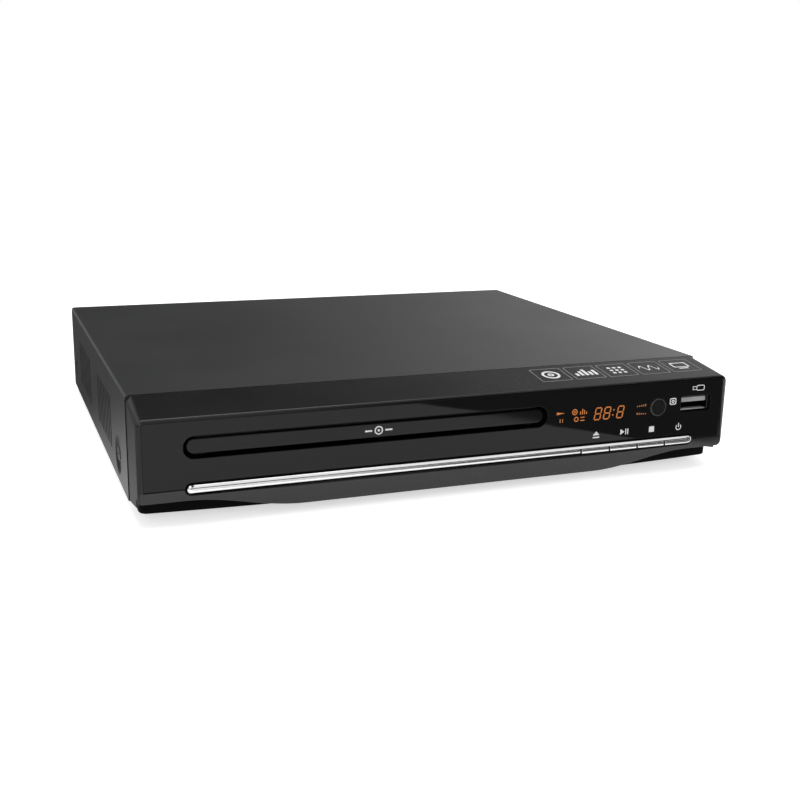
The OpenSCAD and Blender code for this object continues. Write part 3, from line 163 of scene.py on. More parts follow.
def stadium(width: float, height: float, centre: Point = (0, 0), steps: int = 12) -> Array:
    """Outline of a bar with half-round ends, anticlockwise.

    Args:
        width: full width, with the ends.
        height: full height, twice the ends' radius.
        centre: middle of the bar.
        steps: segments in each end.

    Returns:
        Points in rows of two.
    """
    r = height / 2
    x = width / 2 - r
    return np.vstack([arc((centre[0] + x, centre[1]), r, -90, 90, steps),
                      arc((centre[0] - x, centre[1]), r, 90, 270, steps)])


def circle(radius: float, centre: Point = (0, 0), steps: int = 40) -> Array:
    """Outline of a circle, without its last point repeated."""
    return arc(centre, radius, 0, 360, steps)[:-1]


def plate(outline: Array, holes: Sequence[Array] = (), thickness: float = 1.0, bevel: float = 0.0,
          steps: int = 2) -> Shell:
    """A flat plate with holes: the outline filled in the XY plane, from z = 0 down to -thickness.

    Args:
        outline: points of the outer edge.
        holes: points of each hole's edge.
        thickness: thickness of the plate.
        bevel: radius that rounds all its edges.
        steps: faces across each rounded edge.

    Returns:
        A closed shell.
    """
    curve = bpy.data.curves.new("plate", "CURVE")
    curve.dimensions = "2D"
    curve.fill_mode = "BOTH"
    for ring in [outline, *holes]:
        spline = curve.splines.new("POLY")
        spline.points.add(len(ring) - 1)
        flat = np.zeros((len(ring), 4))
        flat[:, :2] = ring * MM
        flat[:, 3] = 1
        spline.points.foreach_set("co", flat.ravel())
        spline.use_cyclic_u = True
    curve.extrude = (thickness / 2 - bevel) * MM
    curve.bevel_depth = bevel * MM
    curve.bevel_resolution = steps
    curve.offset = -bevel * MM
    holder = bpy.data.objects.new("plate", curve)
    mesh = holder.to_mesh()
    points = np.zeros(len(mesh.vertices) * 3)
    mesh.vertices.foreach_get("co", points)
    by_size: dict[int, list[list[int]]] = {}
    for polygon in mesh.polygons:
        by_size.setdefault(len(polygon.vertices), []).append(list(polygon.vertices))
    holder.to_mesh_clear()
    bpy.data.objects.remove(holder)
    bpy.data.curves.remove(curve)
    middle = np.array([0, 0, thickness / 2])
    return Shell(points.reshape(-1, 3) / MM - middle, [np.array(f) for f in by_size.values()])


def revolved(profile: Array, origin: Point, axis: Point, steps: int = 48) -> Shell:
    """A profile turned about an axis: point (r, h) goes to origin + h * axis + r * (cos a * u + sin a * v).

    Args:
        profile: rows of radius and height, from one end of the outline to the other.
        origin: a point on the axis.
        axis: unit direction of the axis.
        steps: faces round the axis.

    Returns:
        The shell, closed round the axis.
    """
    w = np.array(axis, float)
    side = np.array(X_AXIS if abs(w[0]) < 0.9 else Y_AXIS, float)
    u = np.cross(w, side)
    u /= np.linalg.norm(u)
    v = np.cross(w, u)
    a = np.linspace(0, 2 * np.pi, steps, endpoint=False)
    spokes = np.cos(a)[:, None] * u + np.sin(a)[:, None] * v
    r, h = profile.T[:, :, None, None]
    return grid_shell(np.array(origin, float) + h * w + r * spokes, close_cols=True)


def round_profile(corners: Sequence[Triple], steps: int = 4) -> Array:
    """An open profile of (x, y, radius) corners whose inner ones are rounded.

    A corner's arc is drawn as a quadratic curve between the points that lie one radius before and after it.

    Args:
        corners: the profile's corners in order.
        steps: points along each rounded corner.

    Returns:
        Rows of x and y.
    """
    parts = [np.array([corners[0][:2]], float)]
    for before, here, after in zip(corners, corners[1:], corners[2:]):
        p, a, b = (np.array(c[:2], float) for c in (here, before, after))
        if here[2] <= 0:
            parts.append(p[None])
            continue
        start = p + (a - p) / np.linalg.norm(a - p) * here[2]
        end = p + (b - p) / np.linalg.norm(b - p) * here[2]
        t = np.linspace(0, 1, steps + 1)[:, None]
        parts.append((1 - t) ** 2 * start + 2 * t * (1 - t) * p + t ** 2 * end)
    parts.append(np.array([corners[-1][:2]], float))
    return np.vstack(parts)


@dataclass
class Look:
    """How a mesh is finished after it is made. Lengths are in millimetres, angles in degrees."""

    finish: Finish
    wall: float = 0.0
    bevel: float = 0.0
    bevel_steps: int = 2
    sharp_deg: float = 32.0
    recalc: bool = True
    weld: float = 0.0005
    flat_deg: float = 0.6


def add_piece(name: str, shell: Shell, body: str, look: Look,
              replaces: Sequence[str] = ()) -> bpy.types.Object:
    """Makes a Blender object from a shell and hands it to the frame.

    Args:
        name: name of the piece.
        shell: its surface, in millimetres.
        body: the CAD body that it moves with.
        look: its finish, wall, edge rounding and shading.
        replaces: CAD nodes that it stands for.

    Returns:
        The finished object.
    """
    mesh = bpy.data.meshes.new(name)
    faces = [face for block in shell.faces for face in block.tolist()]
    mesh.from_pydata((shell.points * MM).tolist(), [], faces)
    return finish_piece(name, mesh, body, look, replaces)


def refined_node(node: str, look: Look) -> bpy.types.Object:
    """A copy of a CAD node with its triangles joined into flat faces and its edges rounded, in its place.

    Args:
        node: name of the CAD node.
        look: its finish, edge rounding and shading.

    Returns:
        The finished object.
    """
    source = frame["nodes"][node]
    body, slot = source["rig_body"], slot_of(node)
    return finish_piece(f"{node}_shell", source.data.copy(), body, look, [node], flatten=True)


def finish_piece(name: str, mesh: bpy.types.Mesh, body: str, look: Look, replaces: Sequence[str],
                 flatten: bool = False) -> bpy.types.Object:
    """Finishes a mesh, adds its wall and rounded edges, and hands it to the frame.

    Args:
        name: name of the piece.
        mesh: its mesh.
        body: the CAD body that it moves with.
        look: its finish, wall, edge rounding and shading.
        replaces: CAD nodes that it stands for.
        flatten: whether triangles in one plane become one face.

    Returns:
        The finished object.
    """
    finish_mesh(mesh, look, flatten)
    piece = bpy.data.objects.new(name, mesh)
    bpy.context.scene.collection.objects.link(piece)
    piece.data.materials.clear()
    piece.data.materials.append(look.finish.make())
    if look.wall:
        wall = piece.modifiers.new("wall", "SOLIDIFY")
        wall.thickness = look.wall * MM
        wall.offset = -1
    if look.bevel:
        rounding = piece.modifiers.new("rounding", "BEVEL")
        rounding.width = look.bevel * MM
        rounding.segments = look.bevel_steps
        rounding.limit_method = "ANGLE"
        rounding.angle_limit = math.radians(look.sharp_deg)
        rounding.harden_normals = True
    weights = piece.modifiers.new("weights", "WEIGHTED_NORMAL")
    weights.keep_sharp = True
    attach(piece, body)
    if replaces:
        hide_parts(*replaces)
    log.info("%s rides on %s with %d points", piece.name, body, len(piece.data.vertices))
    return piece


def finish_mesh(mesh: bpy.types.Mesh, look: Look, flatten: bool) -> None:
    """Welds a mesh, joins its flat triangles or turns its faces outwards, and sets its shading.

    Args:
        mesh: the mesh, changed in place.
        look: its weld distance, flat angle and sharp angle.
        flatten: joins flat triangles when true, turns the faces outwards when false.
    """
    bm = bmesh.new()
    bm.from_mesh(mesh)
    bmesh.ops.remove_doubles(bm, verts=bm.verts, dist=look.weld * MM)
    if flatten:
        bmesh.ops.dissolve_limit(bm, angle_limit=math.radians(look.flat_deg), verts=bm.verts, edges=bm.edges,
                                 use_dissolve_boundaries=False)
    else:
        bmesh.ops.dissolve_degenerate(bm, edges=bm.edges, dist=look.weld * MM)
        if look.recalc:
            bmesh.ops.recalc_face_normals(bm, faces=bm.faces)
    bm.to_mesh(mesh)
    bm.free()
    mesh.shade_smooth()
    mesh.set_sharp_from_angle(angle=math.radians(look.sharp_deg))


def slot_of(node: str) -> str:
    """The record's material slot of a CAD node."""
    return next(p["material_slot"] for p in frame["record"]["subparts"] if p["node"] == node)


def node_box(node: str) -> tuple[Array, Array]:
    """Lowest and highest corner of a CAD node, in millimetres."""
    low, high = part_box(node)
    return np.array(low) / MM, np.array(high) / MM


# ---------------------------------------------------------------- shader nodes


def feed(tree: Tree, socket: Socket, value: Socket | float | Sequence[float]) -> None:
    """Links an input to a socket, or sets it to a plain value.

    Args:
        tree: the nodes that the link is made in.
        socket: the input.
        value: the output to link, or the plain value.
    """
    if isinstance(value, bpy.types.NodeSocket):
        tree.links.new(value, socket)
    else:
        socket.default_value = value


def add_node(tree: Tree, kind: str, inputs: dict[str | int, Socket | float | Point] | None = None,
             **settings: object) -> bpy.types.Node:
    """Adds a shader node.

    Args:
        tree: the nodes that it joins.
        kind: its type, without the first part of the name.
        inputs: sockets or plain values by the input's name or number.
        settings: its other settings.

    Returns:
        The node.
    """
    node = tree.nodes.new(f"ShaderNode{kind}")
    for name, value in settings.items():
        setattr(node, name, value)
    for name, value in (inputs or {}).items():
        feed(tree, node.inputs[name], value)
    return node


def calc(tree: Tree, operation: str, *values: Socket | float) -> Socket:
    """The result of a Math node on numbers and sockets."""
    return add_node(tree, "Math", dict(enumerate(values)), operation=operation).outputs[0]


def vector_calc(tree: Tree, operation: str, *values: Socket | Point) -> bpy.types.NodeOutputs:
    """The outputs of a Vector Math node."""
    return add_node(tree, "VectorMath", dict(enumerate(values)), operation=operation).outputs


def spread(tree: Tree, value: Socket, low: float, high: float,
           ends: Sequence[Socket | float] = (0.0, 1.0)) -> Socket:
    """Carries a value from the span low to high over to the span between two ends, and no farther."""
    inputs = {"Value": value, "From Min": low, "From Max": high, "To Min": ends[0], "To Max": ends[1]}
    return add_node(tree, "MapRange", inputs).outputs["Result"]


def noise(tree: Tree, place: Socket, scale: Socket | float, detail: float = 3.0) -> Socket:
    """The value of a noise texture with its roughness at a half."""
    inputs = {"Vector": place, "Scale": scale, "Detail": detail, "Roughness": 0.5}
    return add_node(tree, "TexNoise", inputs).outputs["Fac"]


class Effect(Enum):
    """Shared node groups."""

    GRAIN = "fine_grain"
    MOTTLE = "tone_mottle"
    BRUSH = "brushed_lines"
    RUBBED = "rubbed_edges"


def grain_group(tree: Tree, given: bpy.types.NodeOutputs) -> dict[str, Socket]:
    """Fine moulded or sprayed texture: the sum of a fine and a coarse noise, as a height.

    Args:
        tree: the group's nodes.
        given: the group's inputs by name.

    Returns:
        The group's outputs by name.
    """
    fine = noise(tree, given["Vector"], given["Scale"], 2)
    coarse = noise(tree, given["Vector"], calc(tree, "MULTIPLY", given["Scale"], 0.31), 2)
    return {"Height": calc(tree, "MULTIPLY_ADD", coarse, 0.6, fine)}


def mottle_group(tree: Tree, given: bpy.types.NodeOutputs) -> dict[str, Socket]:
    """Slow change of tone and gloss: a colour and a value, each between two ends by one noise.

    Args:
        tree: the group's nodes.
        given: the group's inputs by name.

    Returns:
        The group's outputs by name.
    """
    share = spread(tree, noise(tree, given["Vector"], given["Scale"], 4), 0.3, 0.7)
    tint = add_node(tree, "Mix", {"Factor": share, "A": given["Dark"], "B": given["Light"]}, data_type="RGBA")
    gloss = spread(tree, share, 0.0, 1.0, (given["Low"], given["High"]))
    return {"Color": tint.outputs["Result"], "Value": gloss}


def brush_group(tree: Tree, given: bpy.types.NodeOutputs) -> dict[str, Socket]:
    """Brushed metal: a noise drawn out along X, as a height."""
    drawn = vector_calc(tree, "MULTIPLY", given["Vector"], (0.03, 1.0, 1.0))[0]
    return {"Height": noise(tree, drawn, given["Scale"])}


def rubbed_group(tree: Tree, given: bpy.types.NodeOutputs) -> dict[str, Socket]:
    """Edges polished by handling: where the rounded normal leaves the true one, broken up by a noise.

    Args:
        tree: the group's nodes.
        given: the group's inputs by name.

    Returns:
        The group's outputs by name.
    """
    rounded = add_node(tree, "Bevel", {"Radius": given["Radius"]}, samples=4).outputs["Normal"]
    true = add_node(tree, "NewGeometry").outputs["Normal"]
    turned = spread(tree, vector_calc(tree, "DOT_PRODUCT", rounded, true)["Value"], 0.995, 0.80)
    breaks = spread(tree, noise(tree, given["Vector"], 260, 4), 0.38, 0.62)
    return {"Mask": calc(tree, "MULTIPLY", turned, breaks)}


SOCKET_KINDS: dict[str, str] = {"Vector": "Vector", "Dark": "Color", "Light": "Color", "Color": "Color"}
GROUPS: dict[Effect, tuple[Callable[..., dict[str, Socket]], tuple[str, ...], tuple[str, ...]]] = {
    Effect.GRAIN: (grain_group, ("Vector", "Scale"), ("Height",)),
    Effect.MOTTLE: (mottle_group, ("Vector", "Scale", "Dark", "Light", "Low", "High"), ("Color", "Value")),
    Effect.BRUSH: (brush_group, ("Vector", "Scale"), ("Height",)),
    Effect.RUBBED: (rubbed_group, ("Vector", "Radius"), ("Mask",)),
}


def build_group(effect: Effect) -> Tree:
    """Makes a shared group with its named inputs and outputs.

    Args:
        effect: the group to make.

    Returns:
        The group.
    """
    maker, inputs, outputs = GROUPS[effect]
    group = bpy.data.node_groups.new(effect.value, "ShaderNodeTree")
    for names, way in ((inputs, "INPUT"), (outputs, "OUTPUT")):
        for name in names:
            kind = f"NodeSocket{SOCKET_KINDS.get(name, 'Float')}"
            group.interface.new_socket(name, in_out=way, socket_type=kind)
    given, result = group.nodes.new("NodeGroupInput").outputs, group.nodes.new("NodeGroupOutput").inputs
    for name, socket in maker(group, given).items():
        group.links.new(socket, result[name])
    return group


def effect_node(tree: Tree, effect: Effect, place: Socket,
                **inputs: Socket | float | Point) -> bpy.types.NodeOutputs:
    """Places a shared group in a material, builds it first if it is new, and returns its outputs.

    Args:
        tree: the material's nodes.
        effect: the group to place.
        place: the object's coordinates of the shaded point.
        **inputs: sockets or plain values for its other inputs, by name.

    Returns:
        The outputs of the placed group.
    """
    node = tree.nodes.new("ShaderNodeGroup")
    node.node_tree = bpy.data.node_groups.get(effect.value) or build_group(effect)
    for name, value in {"Vector": place, **inputs}.items():
        feed(tree, node.inputs[name], value)
    return node.outputs


# ---------------------------------------------------------------- finishes


def rgba(tone: Tone) -> tuple[float, ...]:
    """A tone as four numbers. A single number is an even grey."""
    return (*tone, 1.0) if isinstance(tone, tuple) else (tone, tone, tone, 1.0)


@dataclass(frozen=True)
class Finish:
    """A finish: its tones, its gloss, its texture and its rubbed edges.

    The tone and the gloss drift between two ends, the grain is a height in millimetres, and the edges turn
    to a third tone. Where matt_from is set, the surface is matt farther than that from the plane x = 0.
    """

    name: str
    dark: Tone
    light: Tone
    rough: Pair
    mottle_scale: float
    grain_scale: float = 1500.0
    grain_height: float = 0.0
    metal: float = 0.0
    grain: Effect = Effect.GRAIN
    coat: float = 0.0
    coat_rough: float = 0.05
    ior: float = 1.5
    specular: float = 0.5
    edge: Tone | None = None
    edge_radius: float = 0.5
    glow: float = 0.0
    clear: float = 0.0
    matt_from: float = 0.0
    matt_blend: float = 0.3
    matt_rough: float = 0.6

    def make(self) -> bpy.types.Material:
        """Builds the material once and returns it.

        Returns:
            The material.
        """
        made = bpy.data.materials.get(self.name)
        if made:
            return made
        material = bpy.data.materials.new(self.name)
        material.use_nodes = True
        tree = material.node_tree
        place = add_node(tree, "TexCoord").outputs["Object"]
        low, high = self.rough
        mottle = effect_node(tree, Effect.MOTTLE, place, Scale=self.mottle_scale, Dark=rgba(self.dark),
                             Light=rgba(self.light), Low=low, High=high)
        colour = self.rubbed(tree, place, mottle["Color"]) if self.edge else mottle["Color"]
        rough = self.matt_sides(tree, place, mottle["Value"]) if self.matt_from else mottle["Value"]
        inputs = {"Base Color": colour, "Roughness": rough, "Metallic": self.metal, "Coat Weight": self.coat,
                  "Coat Roughness": self.coat_rough, "IOR": self.ior, "Specular IOR Level": self.specular,
                  "Transmission Weight": self.clear}
        if self.grain_height:
            inputs["Normal"] = self.bump(tree, place)
        if self.glow:
            inputs |= {"Emission Color": colour, "Emission Strength": self.glow}
        for name, value in inputs.items():
            feed(tree, tree.nodes["Principled BSDF"].inputs[name], value)
        return material

    def matt_sides(self, tree: Tree, place: Socket, rough: Socket) -> Socket:
        """Raises the roughness to matt_rough over the last matt_blend before matt_from, measured on |x|.

        Args:
            tree: the material's nodes.
            place: the object's coordinates of the shaded point.
            rough: the roughness elsewhere.

        Returns:
            The roughness with the matt sides.
        """
        x = add_node(tree, "SeparateXYZ", {0: place}).outputs["X"]
        start, end = (self.matt_from - self.matt_blend) * MM, self.matt_from * MM
        share = spread(tree, calc(tree, "ABSOLUTE", x), start, end)
        return add_node(tree, "Mix", {"Factor": share, "A": rough, "B": self.matt_rough}).outputs["Result"]

    def rubbed(self, tree: Tree, place: Socket, colour: Socket) -> Socket:
        """Mixes the rubbed edges' tone into the colour.

        Args:
            tree: the material's nodes.
            place: the object's coordinates of the shaded point.
            colour: the colour away from the edges.

        Returns:
            The colour with the rubbed edges.
        """
        mask = effect_node(tree, Effect.RUBBED, place, Radius=self.edge_radius * MM)["Mask"]
        inputs = {"Factor": mask, "A": colour, "B": rgba(self.edge)}
        return add_node(tree, "Mix", inputs, data_type="RGBA").outputs["Result"]

    def bump(self, tree: Tree, place: Socket) -> Socket:
        """The normal with the grain or the brushed lines on it.

        Args:
            tree: the material's nodes.
            place: the object's coordinates of the shaded point.

        Returns:
            The changed normal.
        """
        height = effect_node(tree, self.grain, place, Scale=self.grain_scale)["Height"]
        inputs = {"Strength": 1.0, "Distance": self.grain_height * MM, "Height": height}
        return add_node(tree, "Bump", inputs).outputs["Normal"]


@dataclass(frozen=True)
class Brushed(Finish):
    """Brushed bare metal, or ribbed sheet where its metal is zero."""

    metal: float = 1.0
    grain: Effect = Effect.BRUSH


# Name, dark and light tone, gloss, scale of the mottle, and scale and height of the grain.
COVER_PAINT = Finish("cover_paint", (0.026, 0.0265, 0.0275), (0.034, 0.0345, 0.0355), (0.36, 0.42), 18,
                     2600, 0.012, edge=(0.05, 0.05, 0.051), specular=0.45)
PANEL_PLASTIC = Finish("panel_plastic", (0.006, 0.0062, 0.0066), (0.008, 0.0082, 0.0086), (0.24, 0.29), 30,
                       900, 0.0015, coat=0.05, coat_rough=0.3, edge=0.016, matt_from=111.8)
# The plinth is the panel's own plastic painted darker, as painted shade under the chin.
PLINTH_SHADE = Finish("plinth_painted_shade", 0.001, 0.0016, (0.5, 0.6), 50, 1800, 0.008, specular=0.05)
LENS_ACRYLIC = Finish("lens_acrylic", (0.0035, 0.0036, 0.0038), (0.0045, 0.0046, 0.0049), (0.03, 0.05), 25,
                      60, 0.0006, ior=1.325)
RIM_GLOSS = Finish("rim_gloss", (0.004, 0.0041, 0.0044), (0.0055, 0.0056, 0.006), (0.06, 0.10), 25,
                   60, 0.0006, ior=1.36)
DOOR_PLASTIC = Finish("door_plastic", (0.004, 0.0041, 0.0043), (0.0055, 0.0056, 0.0059), (0.07, 0.10), 30,
                      80, 0.0006, ior=1.32)
# Dead black for the seams, the strip's pocket and the wall behind the lens: painted shade in these hollows.
SHADE_BLACK = Finish("painted_shade_black", 0.002, 0.003, (0.6, 0.7), 60, 1500, 0.01, specular=0.1)
STRIP_CHROME = Brushed("strip_chrome_finish", 0.74, 0.80, (0.09, 0.12), 90)
IR_FILTER = Finish("ir_filter", (0.008, 0.0072, 0.0074), (0.011, 0.0092, 0.0095), (0.08, 0.12), 60,
                   400, 0.0006, ior=1.4)
IR_RING = Finish("ir_ring", 0.06, 0.085, (0.3, 0.4), 200, 2000, 0.001)
WHITE_INK = Finish("white_ink", 0.86, 0.93, (0.45, 0.55), 400, 4000, 0.001)
GREY_INK = Finish("grey_ink", 0.24, 0.29, (0.45, 0.55), 400, 4000, 0.001)
AMBER_SEGMENT = Finish("amber_segment", (0.52, 0.155, 0.024), (0.58, 0.185, 0.036), (0.3, 0.4), 600,
                       4000, 0.001, glow=0.3)
AMBER_FAINT = Finish("amber_faint", (0.38, 0.14, 0.045), (0.42, 0.16, 0.055), (0.3, 0.4), 600,
                     4000, 0.001, glow=0.25)
RUBBER = Finish("foot_rubber_finish", 0.012, 0.02, (0.75, 0.85), 90, 1500, 0.03, specular=0.3)
ZINC = Brushed("zinc_sheet", (0.46, 0.47, 0.48), (0.51, 0.52, 0.53), (0.36, 0.40), 45, 900, 0.003)
NICKEL = Brushed("bright_nickel", (0.60, 0.60, 0.59), (0.68, 0.68, 0.67), (0.18, 0.26), 120, 1600, 0.0015)
# A brightened copy of the nickel: painted highlight on the data socket's lower lip.
LIT_NICKEL = Brushed("nickel_painted_highlight", 0.80, 0.86, (0.42, 0.50), 120, 1600, 0.0015)
# A darkened copy of the nickel: painted shade on the data socket's shell under the lens' edge.
SHADED_NICKEL = Brushed("nickel_painted_shade", 0.10, 0.14, (0.28, 0.36), 120, 1600, 0.0015)
BLACK_ZINC = Finish("black_zinc", (0.035, 0.036, 0.038), (0.055, 0.056, 0.058), (0.34, 0.44), 220,
                    2500, 0.004, metal=0.6, edge=0.3)
BLACK_MOULDED = Finish("black_moulded", 0.014, 0.02, (0.42, 0.52), 70, 1700, 0.012, edge=0.04)
TRAY_PLASTIC = Finish("tray_plastic", (0.012, 0.0122, 0.013), (0.017, 0.0172, 0.018), (0.4, 0.5), 35,
                      2200, 0.012, edge=0.045)
ACETAL = Finish("white_acetal", (0.66, 0.64, 0.58), (0.74, 0.72, 0.66), (0.34, 0.42), 80, 1200, 0.004)
SOCKET_GREY = Finish("socket_tongue", 0.42, 0.50, (0.35, 0.45), 160, 1200, 0.003)
BRASS = Brushed("turned_brass", (0.55, 0.38, 0.14), (0.66, 0.48, 0.20), (0.22, 0.32), 150, 1500, 0.002)
GOLD_PLATE = Finish("gold_plate", (0.72, 0.52, 0.22), (0.80, 0.60, 0.28), (0.18, 0.26), 150, 1500, 0.001,
                    metal=1.0)
BOARD_GREEN = Finish("solder_mask", (0.012, 0.085, 0.035), (0.02, 0.12, 0.05), (0.3, 0.4), 130, 700, 0.006,
                     coat=0.3)
BOARD_TAN = Finish("phenolic_board", (0.36, 0.22, 0.09), (0.46, 0.30, 0.13), (0.45, 0.55), 160, 900, 0.01)
TAPE_YELLOW = Finish("winding_tape", (0.62, 0.42, 0.06), (0.72, 0.52, 0.10), (0.35, 0.45), 120, 900, 0.01)
DIE_CAST = Finish("die_cast", (0.22, 0.23, 0.24), (0.30, 0.31, 0.32), (0.4, 0.52), 110, 1500, 0.02, metal=0.8)
LENS_GLASS = Finish("coated_glass", (0.35, 0.55, 0.80), (0.42, 0.60, 0.85), (0.02, 0.04), 200, 100, 0.0002,
                    clear=0.8)
RIBBON_GREY = Brushed("ribbon_grey", (0.40, 0.41, 0.42), (0.50, 0.51, 0.52), (0.45, 0.55), 120, 900, 0.05,
                      metal=0.0)
BELT_RUBBER = Finish("belt_rubber_finish", 0.008, 0.014, (0.6, 0.7), 150, 2500, 0.01)


class JackColour(Enum):
    """Colours of the collars round the signal sockets."""

    VIDEO = (0.72, 0.50, 0.03)
    LEFT = (0.70, 0.69, 0.66)
    RIGHT = (0.45, 0.02, 0.015)
    DIGITAL = (0.62, 0.20, 0.02)

    def finish(self) -> Finish:
        """The collar's moulded finish."""
        dark = tuple(c * 0.9 for c in self.value)
        return Finish(f"collar_{self.name.lower()}", dark, self.value, (0.3, 0.4), 150, 1500, 0.003)


# ---------------------------------------------------------------- printed marks


@dataclass(frozen=True)
class MarkPlane:
    """A flat surface that marks are printed on."""

    origin: Point
    up: Point = Z_AXIS
    film: float = 0.03

    def printed(self, marks: Sequence[Mark]) -> Shell:
        """Lays outlines with their holes on the surface as thin films, in its own X and up directions.

        Args:
            marks: outlines, each with its holes.

        Returns:
            All the films as one shell.
        """
        flat = joined([plate(outline, holes, self.film) for outline, holes in marks])
        raised = np.array(self.origin) + np.cross(X_AXIS, self.up) * self.film
        return flat.placed(raised, X_AXIS, self.up)


def bar(x0: float, y0: float, x1: float, y1: float) -> Mark:
    """A filled rectangle between two corners."""
    return np.array([[x0, y0], [x1, y0], [x1, y1], [x0, y1]], float), ()


def dot(radius: float, centre: Point) -> Mark:
    """A filled circle."""
    return circle(radius, centre, 20), ()


def ring(centre: Point, outer: float, inner: float) -> Mark:
    """A circle with a round hole."""
    return circle(outer, centre), (circle(inner, centre)[::-1],)


def frame_mark(width: float, height: float, line: float, centre: Point) -> Mark:
    """A round-cornered frame drawn with one thin line."""
    inner = round_rect(width - 2 * line, height - 2 * line, 0.5, centre)
    return round_rect(width, height, 0.7, centre), (inner[::-1],)


def triangle_up(centre: Point, width: float, height: float) -> Mark:
    """A triangle that points up, from the middle of its base."""
    x, y = centre
    return np.array([[x - width / 2, y], [x + width / 2, y], [x, y + height]]), ()


def triangle_right(corner: Point, width: float, height: float) -> Mark:
    """A triangle that points right, from its lower left corner."""
    x, y = corner
    return np.array([[x, y], [x + width, y + height / 2], [x, y + height]]), ()


@dataclass(frozen=True)
class SegmentDigits:
    """Seven-segment figures that lean to the right."""

    height: float = 4.9
    width: float = 2.9
    stroke: float = 0.46
    gap: float = 0.1
    lean: float = 0.17
    dot_share: float = 0.55

    def segment(self, start: Point, end: Point) -> Array:
        """A bar with two pointed ends between two points, as six corners.

        Args:
            start: middle of one end.
            end: middle of the other end.

        Returns:
            Points in rows of two.
        """
        a, b = np.array(start, float), np.array(end, float)
        along = (b - a) / np.linalg.norm(b - a)
        across = np.array([-along[1], along[0]]) * self.stroke / 2
        a, b, tip = a + along * self.gap, b - along * self.gap, along * self.stroke / 2
        return np.array([a, a + tip - across, b - tip - across, b, b - tip + across, a + tip + across])

    def figure(self, corner: Point) -> list[Mark]:
        """All seven segments of one figure.

        Args:
            corner: lower left corner of the figure.

        Returns:
            One mark for each segment.
        """
        x0, x1 = self.stroke / 2, self.width - self.stroke / 2
        y = [self.stroke / 2, self.height / 2, self.height - self.stroke / 2]
        lines = [((x0, v), (x1, v)) for v in y]
        lines += [((u, y[k]), (u, y[k + 1])) for u in (x0, x1) for k in (0, 1)]
        return [self.leaned(self.segment(*line), corner) for line in lines]

    def point(self, corner: Point, level: float) -> Mark:
        """A square dot at a share of the figure's height."""
        r, y = self.stroke * self.dot_share, self.height * level
        return self.leaned(bar(-r, y - r, r, y + r)[0], corner)

    def leaned(self, points: Array, corner: Point) -> Mark:
        """Shifts each point to the right by the lean times its height, and all of them to a corner."""
        return points + np.stack([points[:, 1] * self.lean, np.zeros(len(points))], 1) + np.array(corner), ()


# ---------------------------------------------------------------- case


